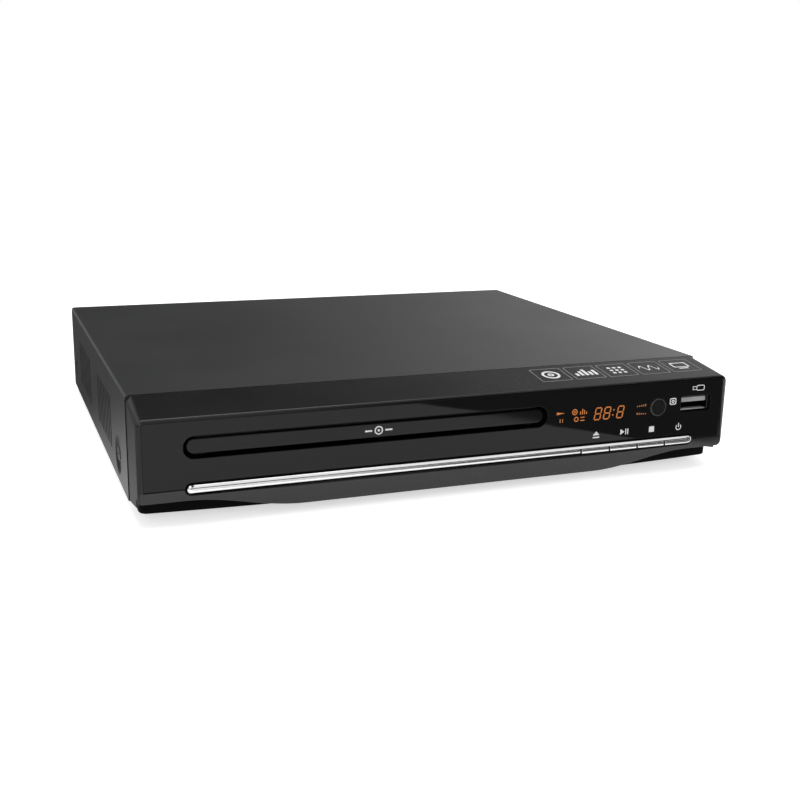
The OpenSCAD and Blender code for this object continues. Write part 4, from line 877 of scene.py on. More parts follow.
@dataclass
class Case:
    """The steel cover, the chassis, the feet and the case screws. All sizes are in millimetres."""

    sheet: float = 0.8
    bend_r: float = 1.2
    edge_depth: float = 0.25
    edge_inset: float = 0.12
    vent_count: int = 9
    vent_pitch: float = 4.8
    vent_w: float = 2.4
    vent_h: float = 20.0
    vent_starts: Pair = (62.0, 128.0)
    vent_rise: float = 7.0
    screw_rise: float = 10.0
    dimples: tuple[Pair, Pair] = ((45.0, 7.75), (187.0, 4.5))
    dimple_depth: float = 1.0
    screw_hole_r: float = 1.6
    foot_r: float = 7.0
    low: Array = field(init=False)
    high: Array = field(init=False)
    front_y: float = field(init=False)

    def __post_init__(self) -> None:
        """Takes the cover's corners and the front face from the frame."""
        self.low, self.high = node_box("top_cover")
        self.front_y = node_box("front_panel")[0][1]

    def build(self) -> None:
        """Builds and dresses all the pieces of the case."""
        cover = joined([self.bent_sheet(), self.side(-1), self.side(1)])
        add_piece("cover_shell", cover, "case", Look(COVER_PAINT), ["top_cover"])
        add_piece("feet_turned", self.feet(), "case", Look(RUBBER), ["rubber_feet"])
        refined_node("case_screws", Look(BLACK_ZINC, bevel=0.12))
        refined_node("base_chassis", Look(ZINC, bevel=0.1, bevel_steps=1))

    def bent_sheet(self) -> Shell:
        """Top and both bends: an arc, a straight and an arc, carried from front to back, with a thickness.

        Its front and back edges are chamfered by edge_inset over edge_depth.

        Returns:
            The sheet as a closed shell.
        """
        half, top, r = self.high[0], self.high[2], self.bend_r
        outer = self.section(half, top, r)
        inner = self.section(half - self.sheet, top - self.sheet, r - self.sheet)
        loop = np.vstack([outer, inner[::-1]])
        y0, y1 = self.low[1], self.high[1]
        stations = ((y0, self.edge_inset), (y0 + self.edge_depth, 0), (y1 - self.edge_depth, 0),
                    (y1, self.edge_inset))
        middle = np.vstack([(outer + inner) / 2, (outer + inner)[::-1] / 2])
        rows = [(loop + (middle - loop) * k, y) for y, k in stations]
        points = np.stack([np.stack([row[:, 0], np.full(len(row), y), row[:, 1]], 1) for row, y in rows])
        count = len(outer)
        caps = [grid_shell(np.stack([end[:count], end[count:][::-1]])) for end in (points[0], points[-1])]
        return joined([grid_shell(points, close_cols=True), *caps])

    def section(self, half: float, top: float, r: float) -> Array:
        """Points from one side's bend over the top to the other, as rows of x and z.

        Args:
            half: half the sheet's width.
            top: height of the flat top.
            r: radius of the bends.

        Returns:
            Points in rows of two.
        """
        z = self.high[2] - self.bend_r
        bends = [arc((-half + r, top - r), r, 180, 90, 10), arc((half - r, top - r), r, 90, 0, 10)]
        return np.vstack([[-half, z], *bends, [half, z]])

    def side(self, s: int) -> Shell:
        """One side wall with its two groups of vents and two pressed dimples.

        Args:
            s: 1 for the right side, -1 for the left.

        Returns:
            The wall with its dimples.
        """
        x, (y0, z0), y1 = self.high[0], self.low[1:], self.high[1]
        outline = bar(y0, z0, y1, self.high[2] - self.bend_r)[0]
        slit = stadium(self.vent_h, self.vent_w)[:, ::-1][::-1]
        middle = np.array([self.front_y + self.vent_w / 2, z0 + self.vent_rise + self.vent_h / 2])
        holes = [slit + middle + [start + i * self.vent_pitch, 0]
                 for start in self.vent_starts for i in range(self.vent_count)]
        dishes = []
        for along, r in self.dimples:
            centre = (self.front_y + along, z0 + self.screw_rise)
            holes.append(circle(r, centre)[::-1])
            dishes.append(self.dimple((x, *centre), r))
        wall = plate(outline, holes, self.sheet).placed((x, 0, 0), Y_AXIS, Z_AXIS)
        whole = joined([wall, *dishes])
        return whole if s > 0 else Shell(whole.points * [-1, 1, 1], whole.faces).flipped()

    def dimple(self, centre: Point, r: float) -> Shell:
        """A pressed dish: a rim that curves in to a flat floor with the screw's hole, with a thickness.

        Args:
            centre: middle of the dish on the wall's outer face.
            r: radius of its rim.

        Returns:
            The dish as a turned shell.
        """
        t, deep, hole = self.sheet, self.dimple_depth, self.screw_hole_r
        outer = round_profile([(r, 0, 0), (r - 0.25, 0, 0.2), (r - 1.1, -deep, 0.6), (hole, -deep, 0)])
        inner = round_profile([(hole, -deep - t, 0), (r - 0.6, -deep - t, 0.6), (r, -t, 0)])
        return revolved(np.vstack([outer, inner, outer[:1]]), centre, X_AXIS)

    def feet(self) -> Shell:
        """Four rubber feet: a turned profile with a rounded rim, a shallow hollow in the sole and a peg.

        Returns:
            All four feet as one shell.
        """
        low, high = node_box("rubber_feet")
        r, top, floor_z = self.foot_r, high[2], node_box("base_chassis")[0][2]
        hollow_r, hollow_z, peg_r = r - 3, 0.5, 2
        profile = round_profile([(0, hollow_z, 0), (hollow_r, hollow_z, 0.3), (hollow_r, 0, 0.3),
                                 (r - 0.6, 0, 0.5), (r, floor_z, 0.3), (peg_r, floor_z, 0), (peg_r, top, 0),
                                 (0, top, 0)])
        places = [(x, y, 0) for x in (low[0] + r, high[0] - r) for y in (low[1] + r, high[1] - r)]
        return joined([revolved(profile, place, Z_AXIS) for place in places])


# ---------------------------------------------------------------- front


@dataclass
class Front:
    """The moulded front with its lens and windows. All sizes are in millimetres."""

    lip_drop: float = 3.2
    edge_r: float = 1.9
    shoulder_r: float = 2.6
    rim_r: float = 0.4
    back_r: float = 0.4
    back_draft: float = 0.3
    foot_share: float = 0.3
    foot_least: float = 0.3
    foot_steps: int = 6
    wall: float = 1.2
    crease_rise: float = 9.6
    chin_back: float = 1.5
    chin_curve: float = 1.7
    chin_rise: float = 5.5
    chin_depth: float = 8.0
    chin_steps: int = 8
    belly_half: float = 56.0
    belly_ramp: float = 41.0
    side_stations: tuple[float, ...] = (15.0, 9.0)
    skirt_depth: float = 4.0
    skirt_rise: float = 3.5
    skirt_step: float = 0.1
    belly_over: float = 0.5
    plinth_back: float = 7.0
    plinth_mid_back: float = 2.0
    plinth_inset: float = 1.3
    plinth_corner_r: float = 3.0
    plinth_edge_r: float = 0.7
    plinth_over: float = 0.3
    lens_border: float = 1.8
    lens_top: float = 1.3
    lens_r: float = 1.2
    lens_t: float = 1.2
    lens_gap: float = 0.06
    lens_edge_r: float = 0.12
    seam: float = 0.1
    seam_shade_span: Pair = (0.04, 1.0)
    seam_shade_back: float = 0.07
    seam_shade_lift: float = 0.1
    slot_x: float = -31.3
    slot_size: Pair = (132.6, 7.8)
    collar_wall: float = 0.8
    collar_depth: float = 11.0
    strip_gap: float = 0.45
    backing_below: float = 3.2
    backing_above: float = 0.4
    backing_t: float = 1.4
    backing_gap: float = 0.02
    usb_clear: float = 0.5
    eye_clear: float = 0.15
    low: Array = field(init=False)
    high: Array = field(init=False)

    def __post_init__(self) -> None:
        """Takes the panel's corners from the frame and works out its levels."""
        self.low, self.high = node_box("front_panel")
        self.half = self.high[0]
        self.front_y = self.low[1]
        self.joint_y = node_box("top_cover")[0][1] - self.seam
        self.depth = self.joint_y - self.front_y
        self.base_z, self.top_z = self.low[2], self.high[2]
        self.side_z = self.base_z + self.chin_rise
        self.crease_z = self.base_z + self.crease_rise
        self.lip_z = self.top_z - self.lip_drop
        door_low, door_high = node_box("tray_door")
        self.slot_z = (door_low[2] + door_high[2]) / 2
        strip_low, strip_high = node_box("trim_strip")
        power_high = node_box("button_power")[1]
        self.strip_x = (strip_low[0] + power_high[0]) / 2
        self.strip_l = power_high[0] - strip_low[0]
        self.strip_z = (strip_low[2] + strip_high[2]) / 2
        self.strip_h = strip_high[2] - strip_low[2]
        self.strip_reach = (self.strip_l - self.strip_h) / 2
        self.pocket_r = self.strip_h / 2 + self.strip_gap

    def build(self) -> None:
        """Builds and dresses all the pieces of the front, with its strip, keys and marks."""
        self.panel()
        self.plinth()
        self.lens()
        BrightStrip(self).build()
        self.windows()
        FaceMarks(self).build()

    def dark(self, name: str, shell: Shell, wall: float = 0.0) -> None:
        """Adds a dead black piece, painted shade, in the seams, in the strip's pocket and behind the lens,
        with a wall if it is an open sheet.
        """
        add_piece(name, shell, "case", Look(SHADE_BLACK, wall=wall, recalc=not wall))

    # -- the moulding

    def belly_z(self, x: Array) -> Array:
        """Height of the lower edge: flat in the middle, rising on a half cosine wave to each side."""
        t = np.clip((np.abs(x) - self.belly_half) / self.belly_ramp, 0, 1)
        return self.base_z + self.chin_rise * (1 - np.cos(np.pi * t)) / 2

    def plinth_depth(self, x: Array) -> Array:
        """Set-back of the plinth: a parabola from the middle to the ends."""
        return self.plinth_mid_back + (self.plinth_back - self.plinth_mid_back) * (x / self.half) ** 2

    def leaned(self, points: Array) -> Array:
        """Leans the chin back: y grows with a power of the fall below the crease, and fades out in depth.

        Args:
            points: points with x, y and z in their last axis.

        Returns:
            The moved points.
        """
        fall = np.clip((self.crease_z - points[..., 2]) / self.crease_rise, 0, 1)
        fade = np.clip(1 - (points[..., 1] - self.front_y) / self.chin_depth, 0, 1)
        out = points.copy()
        out[..., 1] += self.chin_back * fall ** self.chin_curve * fade
        return out

    def side_outline(self, d: float, inset: float, low_z: float, foot_r: float) -> Array:
        """Outline of the moulding at a depth, open below: up the right side, over the lip and down again.

        A quarter turn of radius foot_r starts it, then come a straight stretch up to the crease and the lip's
        quarter circle, and the same mirrored. The inset shrinks every radius, and the lower edge by a share
        of it.

        Args:
            d: depth behind the front face.
            inset: how far the outline lies inside the full one.
            low_z: height of the side's lower edge.
            foot_r: radius of its lower corner.

        Returns:
            Rows of x and z.
        """
        top = self.top_z - self.lip_drop * (1 - d / self.depth)
        rise = np.linspace(low_z + foot_r, self.crease_z, self.chin_steps + 1)[1:]
        side = np.stack([np.full(len(rise), self.half - inset), rise], 1)
        r = self.shoulder_r
        corner = arc((self.half - r, top - r), r - inset, 0, 90, 8)
        return self.mirrored(np.vstack([self.foot_turn(low_z, foot_r, inset), side, corner]))

    @staticmethod
    def mirrored(right: Array) -> Array:
        """The right half of an outline, and the same mirrored in reverse order."""
        return np.vstack([right, right[::-1] * [-1, 1]])

    def foot_turn(self, low_z: float, foot_r: float, inset: float) -> Array:
        """Lower right corner: a quarter ellipse, centre + (a sin t, -b cos t) for t from 0 to 90 degrees.

        Args:
            low_z: height of the lower edge.
            foot_r: radius of the corner.
            inset: how far the corner has drawn in.

        Returns:
            Points as rows of x and z.
        """
        t = np.radians(np.linspace(0, 90, self.foot_steps + 1))
        wide, high = foot_r - inset, foot_r - inset * self.foot_share
        return np.stack([self.half - foot_r + wide * np.sin(t), low_z + foot_r - high * np.cos(t)], 1)

    @staticmethod
    def quarter(r: float, steps: int) -> list[Pair]:
        """Depth r (1 - sin a) and inset r (1 - cos a) of rows that round an edge on a quarter circle."""
        return [(r * (1 - math.sin(a)), r * (1 - math.cos(a)))
                for a in np.radians(np.linspace(0, 90, steps + 1))]

    def rim_rows(self) -> list[Pair]:
        """Depth and inset of the rows that round the front edge."""
        return self.quarter(self.rim_r, 8)

    def panel(self) -> None:
        """The outer skin of the moulding: its sides and lip, the chin, the belly and the lens pocket's edge.

        Behind the skirt the sides draw in evenly, by back_draft at the joint.
        """
        run = self.depth - self.skirt_depth
        stops = [(self.depth - d, inset) for d, inset in self.quarter(self.back_r, 3)[::-1]]
        stops += [(d, 0.0) for d in (*self.side_stations, self.skirt_depth)]
        back = [(d, inset, self.base_z + self.skirt_rise * (self.depth - d) / run,
                 max(inset, self.foot_least))
                for d, inset in stops]
        front = [(self.skirt_depth - self.skirt_step, 0.0, self.side_z, self.edge_r)]
        front += [(d, inset, self.side_z, self.edge_r) for d, inset in self.rim_rows()]
        rows = [self.at_depth(self.side_outline(*row), row[0]) for row in [*back, *front]]
        for row, (d, *_) in zip(rows, back):
            row[:, 0] *= 1 - self.back_draft / self.half * (d - self.skirt_depth) / run
        skin = joined([grid_shell(self.leaned(np.stack(rows))), self.chin(), self.belly()])
        look = Look(PANEL_PLASTIC, wall=self.wall, recalc=False, sharp_deg=28)
        add_piece("panel_skin", skin, "case", look, ["front_panel"])
        pocket = self.lens_edge()
        start = self.foot_steps + self.chin_steps
        rim = rows[-1][start:len(rows[-1]) - start]
        border = grid_shell(np.stack([rim, self.at_depth(pocket, 0), self.at_depth(pocket, self.lens_t)]))
        gloss = Look(RIM_GLOSS, wall=0.8, recalc=False)
        add_piece("panel_rim", border, "case", gloss)
        self.backing()
        self.seam_shade()

    def seam_shade(self) -> None:
        """Painted shade: a thin dead black strip in the seam between the panel's rounded back edge and the
        cover's front edge.
        """
        low = self.base_z + self.seam_shade_lift
        outlines = [self.side_outline(self.depth, inset, low, self.foot_least) for inset in self.seam_shade_span]
        rows = [self.at_depth(outline, self.depth + self.seam_shade_back) for outline in outlines]
        self.dark("panel_seam_shade", grid_shell(np.stack(rows)), 0.05)

    def at_depth(self, outline: Array, d: float) -> Array:
        """Turns rows of x and z into points at a depth behind the front face."""
        return np.stack([outline[:, 0], np.full(len(outline), self.front_y + d), outline[:, 1]], 1)

    def lens_edge(self) -> Array:
        """Edge of the lens pocket, with as many points as the outline above the crease."""
        half, top, r = self.half - self.lens_border, self.lip_z - self.lens_top, self.lens_r
        return self.mirrored(np.vstack([[half, self.crease_z], arc((half - r, top - r), r, 0, 90, 8)]))

    def belly_x(self) -> Array:
        """Stations across the chin's lower edge, closer on the ramps and at the ends of the strip.

        Returns:
            The stations' x, in order.
        """
        ends = self.strip_reach + self.pocket_r * np.sin(np.radians(np.linspace(0, 90, 10)))
        ramp_end = self.belly_half + self.belly_ramp
        right = [np.linspace(0, self.belly_half, 12), np.linspace(self.belly_half, ramp_end, 20)]
        right = np.concatenate([*right, [self.half - self.edge_r]])
        stations = np.concatenate([right, -right, self.strip_x + ends, self.strip_x - ends])
        return np.unique(np.round(stations, 4))

    def belly(self) -> Shell:
        """Rounded lower edge of the chin and the flat behind it, back to the plinth.

        Returns:
            The belly as an open shell.
        """
        x = self.belly_x()
        z = self.belly_z(x)
        rows = [np.stack([x, self.front_y + self.plinth_depth(x) + self.belly_over, z], 1)]
        rows += [self.at_depth(np.stack([x, z + inset * self.foot_share], 1), d)
                 for d, inset in self.rim_rows()]
        return grid_shell(self.leaned(np.stack(rows)))

    def chin_top(self, x: Array) -> Array:
        """Upper edge of the chin: the crease, or the lower half of the strip's pocket.

        Args:
            x: stations across the front.

        Returns:
            The edge's z at each station.
        """
        r = self.pocket_r
        out = np.abs(x - self.strip_x) - self.strip_reach
        pocket = self.strip_z - np.sqrt(np.clip(r * r - np.clip(out, 0, r) ** 2, 0, None))
        return np.where(out < r - TINY, pocket, self.crease_z)

    def chin(self) -> Shell:
        """The leaning chin, from the crease or the strip's pocket down to the rounded lower edge.

        Returns:
            The chin as an open shell.
        """
        corner, corner_z = self.foot_turn(self.side_z, self.edge_r, self.rim_r)[1:].T
        x = self.belly_x()
        low = self.belly_z(x) + self.rim_r * self.foot_share
        bottom = np.concatenate([corner_z[::-1], low, corner_z])
        x = np.concatenate([-corner[::-1], x, corner])
        share = np.linspace(0, 1, self.chin_steps + 1)[::-1, None]
        z = bottom + (self.chin_top(x) - bottom) * share
        face = self.leaned(np.stack([np.broadcast_to(x, z.shape), np.full_like(z, self.front_y), z], -1))
        return grid_shell(face).flipped()

    def chin_ledge(self) -> Shell:
        """The chin's upper edge, carried straight back to the wall behind the lens.

        Returns:
            The ledge as an open shell.
        """
        x = self.belly_x()
        x = x[np.abs(x) <= self.half - self.lens_border]
        edge = self.leaned(self.at_depth(np.stack([x, self.chin_top(x)], 1), 0))
        return grid_shell(np.stack([edge, edge + np.array([0, self.lens_t, 0])]))

    def backing(self) -> None:
        """The dead black wall behind the lens, with the tray's opening and the windows, and the opening's
        collar: painted shade in these hollows.
        """
        z0, z1 = self.strip_z - self.backing_below, self.lip_z - self.lens_top + self.backing_above
        sheet = round_rect(2 * (self.half - self.lens_border), z1 - z0, self.lens_r, (0, (z0 + z1) / 2))
        back = plate(sheet, self.face_holes(), self.backing_t)
        slot, outer = self.slot_outline(), self.slot_outline(2 * self.collar_wall)
        collar = plate(outer, [slot[::-1]], self.collar_depth)
        y = self.front_y + self.lens_t
        self.dark("panel_backing", back.upright((0, y + self.backing_gap, 0)) + collar.upright((0, y, 0)))

    def slot_outline(self, grow: float = 0.0) -> Array:
        """Outline of the tray's opening, made wider and higher by a length."""
        width, height = self.slot_size
        return stadium(width + grow, height + grow, (self.slot_x, self.slot_z), 20)

    def face_holes(self, clear: float = 0.0) -> list[Array]:
        """The tray's opening, the data socket's window and the infrared window.

        Args:
            clear: clearance round the infrared window.

        Returns:
            The three outlines, clockwise.
        """
        low, high = node_box("usb_shell")
        width, _, height = high - low + self.usb_clear
        usb = round_rect(width, height, 0.35, ((low + high) / 2)[::2], 3)
        low, high = node_box("ir_window")
        eye = circle((high[0] - low[0]) / 2 + clear, ((low + high) / 2)[::2])
        return [hole[::-1] for hole in (self.slot_outline(), usb, eye)]

    def plinth_path(self) -> tuple[Array, Array]:
        """Plan of the plinth: back along one side, round a corner, along the bowed front, and back.

        Returns:
            Rows of x and depth, and the unit normals that point out.
        """
        half, r = self.half - self.plinth_inset, self.plinth_corner_r
        end = float(self.plinth_depth(np.array(half - r)))
        side = np.stack([np.full(3, half), np.linspace(self.depth, end + r, 4)[:3]], 1)
        corner = arc((half - r, end + r), r, 0, -90, 6)
        x = np.linspace(half - r, 0, 30)[1:]
        right = np.vstack([side, corner, np.stack([x, self.plinth_depth(x)], 1)])
        path = np.vstack([right, right[-2::-1] * [-1, 1]])
        step = np.gradient(path, axis=0)
        step /= np.linalg.norm(step, axis=1)[:, None]
        return path, np.stack([-step[:, 1], step[:, 0]], 1)

    def plinth(self) -> None:
        """The set-back plinth: a bowed wall under the belly, with a rounded lower edge and a floor, in the
        panel's plastic painted darker as shade.
        """
        path, normal = self.plinth_path()
        inside = np.abs(path[:, 0]) < self.half - self.plinth_inset - TINY
        top = np.where(inside, self.belly_z(path[:, 0]), self.side_z) + self.plinth_over
        levels = [(0.0, top)]
        levels += [(-inset, np.minimum(self.base_z + rise, top))
                   for rise, inset in self.quarter(self.plinth_edge_r, 5)]
        rows = []
        for off, z in levels:
            x, depth = (path + off * normal).T
            rows.append(np.stack([x, self.front_y + depth, z], 1))
        floor = rows[-1].copy()
        floor[:, 1] = self.joint_y
        look = Look(PLINTH_SHADE, wall=1.0, recalc=False)
        add_piece("panel_plinth", grid_shell(np.stack([*rows, floor])), "case", look)

    # -- lens, windows and sockets

    def lens(self) -> None:
        """The smoked lens: a round-cornered plate with the tray's opening and a notch over the strip."""
        g, r, notch_r = self.lens_gap, self.lens_r, self.pocket_r
        half, z0, z1 = self.half - self.lens_border - g, self.crease_z + g, self.lip_z - self.lens_top - g
        rise = math.degrees(math.asin((z0 - self.strip_z) / notch_r))
        left = arc((self.strip_x - self.strip_reach, self.strip_z), notch_r, 180 - rise, 90, 8)
        right = arc((self.strip_x + self.strip_reach, self.strip_z), notch_r, 90, rise, 8)
        top = [arc((half - r, z1 - r), r, 0, 90, 8), arc((r - half, z1 - r), r, 90, 180, 8)]
        outline = np.vstack([[-half, z0], left, right, [half, z0], *top])
        sheet = plate(outline, self.face_holes(self.eye_clear), self.lens_t, bevel=self.lens_edge_r)
        shell = sheet.upright((0, self.front_y, 0))
        add_piece("lens_plate", shell, "case", Look(LENS_ACRYLIC), ["face_lens"])

    def windows(self) -> None:
        """The infrared window with its fine ring, and the data socket, whose shell is nickel painted dark as
        shade and whose lower lip is nickel painted bright as a highlight.
        """
        low, high = node_box("ir_window")
        centre = (low + high) / 2 * [1, 0, 1] + [0, self.front_y, 0]
        r = (high[0] - low[0]) / 2
        eye = round_profile([(0, 0.10, 0), (r - 0.7, 0.02, 0.1), (r - 0.65, 0.1, 0.1), (r - 0.12, 0.02, 0.1),
                             (r, 0.15, 0), (r, self.lens_t, 0), (0, self.lens_t, 0)])
        inner, outer = r - 0.5, r - 0.25
        band = np.array([[inner, 0.06], [inner, -0.01], [outer, -0.01], [outer, 0.06], [inner, 0.06]])
        for name, profile, finish, nodes in (("ir_eye", eye, IR_FILTER, ["ir_window"]),
                                             ("ir_eye_ring", band, IR_RING, [])):
            turned = revolved(profile, centre, Y_AXIS, 64)
            add_piece(name, turned, "case", Look(finish), nodes)
        # The socket's shell is nickel painted dark, as painted shade.
        refined_node("usb_shell", Look(SHADED_NICKEL, bevel=0.1))
        # A thin plate along the shell's lower front edge, in nickel painted bright as a highlight.
        low, high = node_box("usb_shell")
        width = high[0] - low[0] - 1.3
        place = (low[0] + width / 2 + 0.1, low[1], low[2] + 0.40)
        lip = plate(round_rect(width, 0.75, 0.2), (), 2.0, 0.1).upright(place)
        add_piece("usb_lower_lip_highlight", lip, "case", Look(LIT_NICKEL))
        refined_node("usb_tongue", Look(SOCKET_GREY, bevel=0.15))


@dataclass
class BrightStrip:
    """The bright strip across the face and the four keys that continue it. All sizes are in millimetres."""

    front: Front
    out: float = 0.8
    strip_lift: float = 0.35
    key_lift: float = 0.1
    key_gap: float = 0.6
    stem_size: Triple = (3.6, 1.1, 0.2)
    stem_back: float = 1.0
    stem_lift: float = 0.1
    rail_h: float = 1.2
    groove: float = 0.22
    round_soft: float = 0.9
    cut_soft: float = 0.12
    fade_at: tuple[float, ...] = (1.3, 1.8, 2.4)
    crown: float = 0.9
    crown_edge: float = 0.5
    pocket_rim: float = 0.3
    floor_t: float = 0.5
    floor_lap: float = 0.1

    def build(self) -> None:
        """The bright rail over its full length, the band under it, the four keys and the pocket behind them,
        whose ledge and floor are painted shade.

        The rail and the band are both fullest near their lower edge and lean back above it.
        """
        front, chrome = self.front, Look(STRIP_CHROME, sharp_deg=75)
        split = front.strip_z + front.strip_h / 2 - self.rail_h
        rail = np.array([[0, 0.30], [0.02, 0.85], [0.045, 1.0], [0.08, 0.97], [0.25, 0.74], [0.45, 0.46],
                         [0.60, 0.245], [0.66, 0.15], [0.70, 0.0]]) * [self.rail_h, 1] + [split, 0]
        band = self.band_profile(self.strip_lift, split - self.groove)
        key_band = self.band_profile(self.key_lift, split - self.groove)
        left, right = front.strip_x - front.strip_l / 2, front.strip_x + front.strip_l / 2
        first = node_box("button_eject")[0][0] - self.key_gap
        strip = self.bright_bar(band, (left, first), (True, False)) + self.bright_bar(rail, (left, right))
        add_piece("strip_bright", strip, "case", chrome, ["trim_strip"])
        for key in ("eject", "play", "stop", "power"):
            low, high = node_box(f"button_{key}")
            x, _, z = (low + high) / 2
            cap = self.bright_bar(key_band, (low[0], high[0]), (False, key == "power"))
            y = front.front_y + self.stem_back
            stem = plate(round_rect(*self.stem_size), (), high[1] - y)
            shell = cap + stem.upright((x, y, z + self.stem_lift))
            add_piece(f"key_{key}_cap", shell, f"key_{key}", chrome, [f"button_{key}"])
        # The pocket's ledge and floor are dead black: painted shade in the pocket round the strip.
        front.dark("strip_pocket_edge_shade", front.chin_ledge(), self.pocket_rim)
        grow = 2 * (front.strip_gap + self.pocket_rim)
        floor = plate(stadium(front.strip_l + grow, front.strip_h + grow), (), self.floor_t)
        place = (front.strip_x, front.front_y + front.lens_t - self.floor_lap, front.strip_z)
        front.dark("strip_pocket_floor_shade", floor.upright(place))

    def band_profile(self, lift: float, top: float) -> Array:
        """Height and bulge of the band's face: fullest in its lower quarter, leaning back above it.

        Args:
            lift: height of its lower edge over the strip's.
            top: height of its upper edge.

        Returns:
            Rows of height and bulge.
        """
        shares = np.array([[0, 0.0], [0.03, 0.55], [0.10, 0.86], [0.23, 0.98], [0.46, 0.955], [0.68, 0.90],
                           [0.88, 0.80], [0.97, 0.62], [1, 0.35]])
        low = self.front.strip_z - self.front.strip_h / 2 + lift
        return shares * [top - low, 1] + [low, 0]

    def bright_bar(self, profile: Array, ends: Pair, rounds: tuple[bool, bool] = (True, True)) -> Shell:
        """A bar with a bulging face, between two ends that may follow the strip's half-round outline.

        At height z a round end lies r - sqrt(r^2 - (z - middle)^2) inside its place. The bulge of the profile
        is scaled by sqrt(1 - (1 - e / soft)^2) within the distance soft of an end, where e is the distance
        from it, and it passes into an even crown over round_soft before a round end.

        Args:
            profile: rows of height and bulge, as shares of out, from the bottom to the top.
            ends: places of the left and the right end.
            rounds: whether each of them is half round.

        Returns:
            A closed shell.
        """
        front = self.front
        z, bulge = profile.T
        r, fall = front.strip_h / 2, np.abs(z - front.strip_z)
        inward = r - np.sqrt(np.clip(r * r - fall ** 2, 0, None))
        crown = np.interp(fall, [r - self.crown_edge, r], [self.crown, 0])
        xs, heights = [], []
        for end, sign, is_round in zip(ends, (1, -1), rounds):
            soft = self.round_soft if is_round else self.cut_soft
            e = soft * (1 - np.cos(np.radians(np.linspace(0, 90, 7))))
            e = np.concatenate([e, self.fade_at]) if is_round else e
            rise = np.sqrt(np.clip(1 - (1 - np.clip(e / soft, 0, 1)) ** 2, 0, 1))
            share = np.clip(e / self.round_soft - 1, 0, 1) if is_round else np.ones_like(e)
            shape = np.minimum(bulge[:, None] * share + crown[:, None] * (1 - share), 1.0) * rise
            x = end + sign * (e + (inward[:, None] if is_round else 0))
            xs.append(np.broadcast_to(x, shape.shape)[:, ::sign])
            heights.append(shape[:, ::sign])
        x, height = np.hstack(xs), np.hstack(heights)
        y = front.front_y - self.out * height
        face = np.stack([x, y, np.broadcast_to(z[:, None], x.shape)], -1)
        face = np.pad(face, ((1, 1), (1, 1), (0, 0)), mode="edge")
        for rim in (face[0], face[-1], face[:, 0], face[:, -1]):
            rim[:, 1] = front.front_y + front.lens_t
        return grid_shell(face) + grid_shell(np.stack([face[:, 0], face[:, -1]])).flipped()


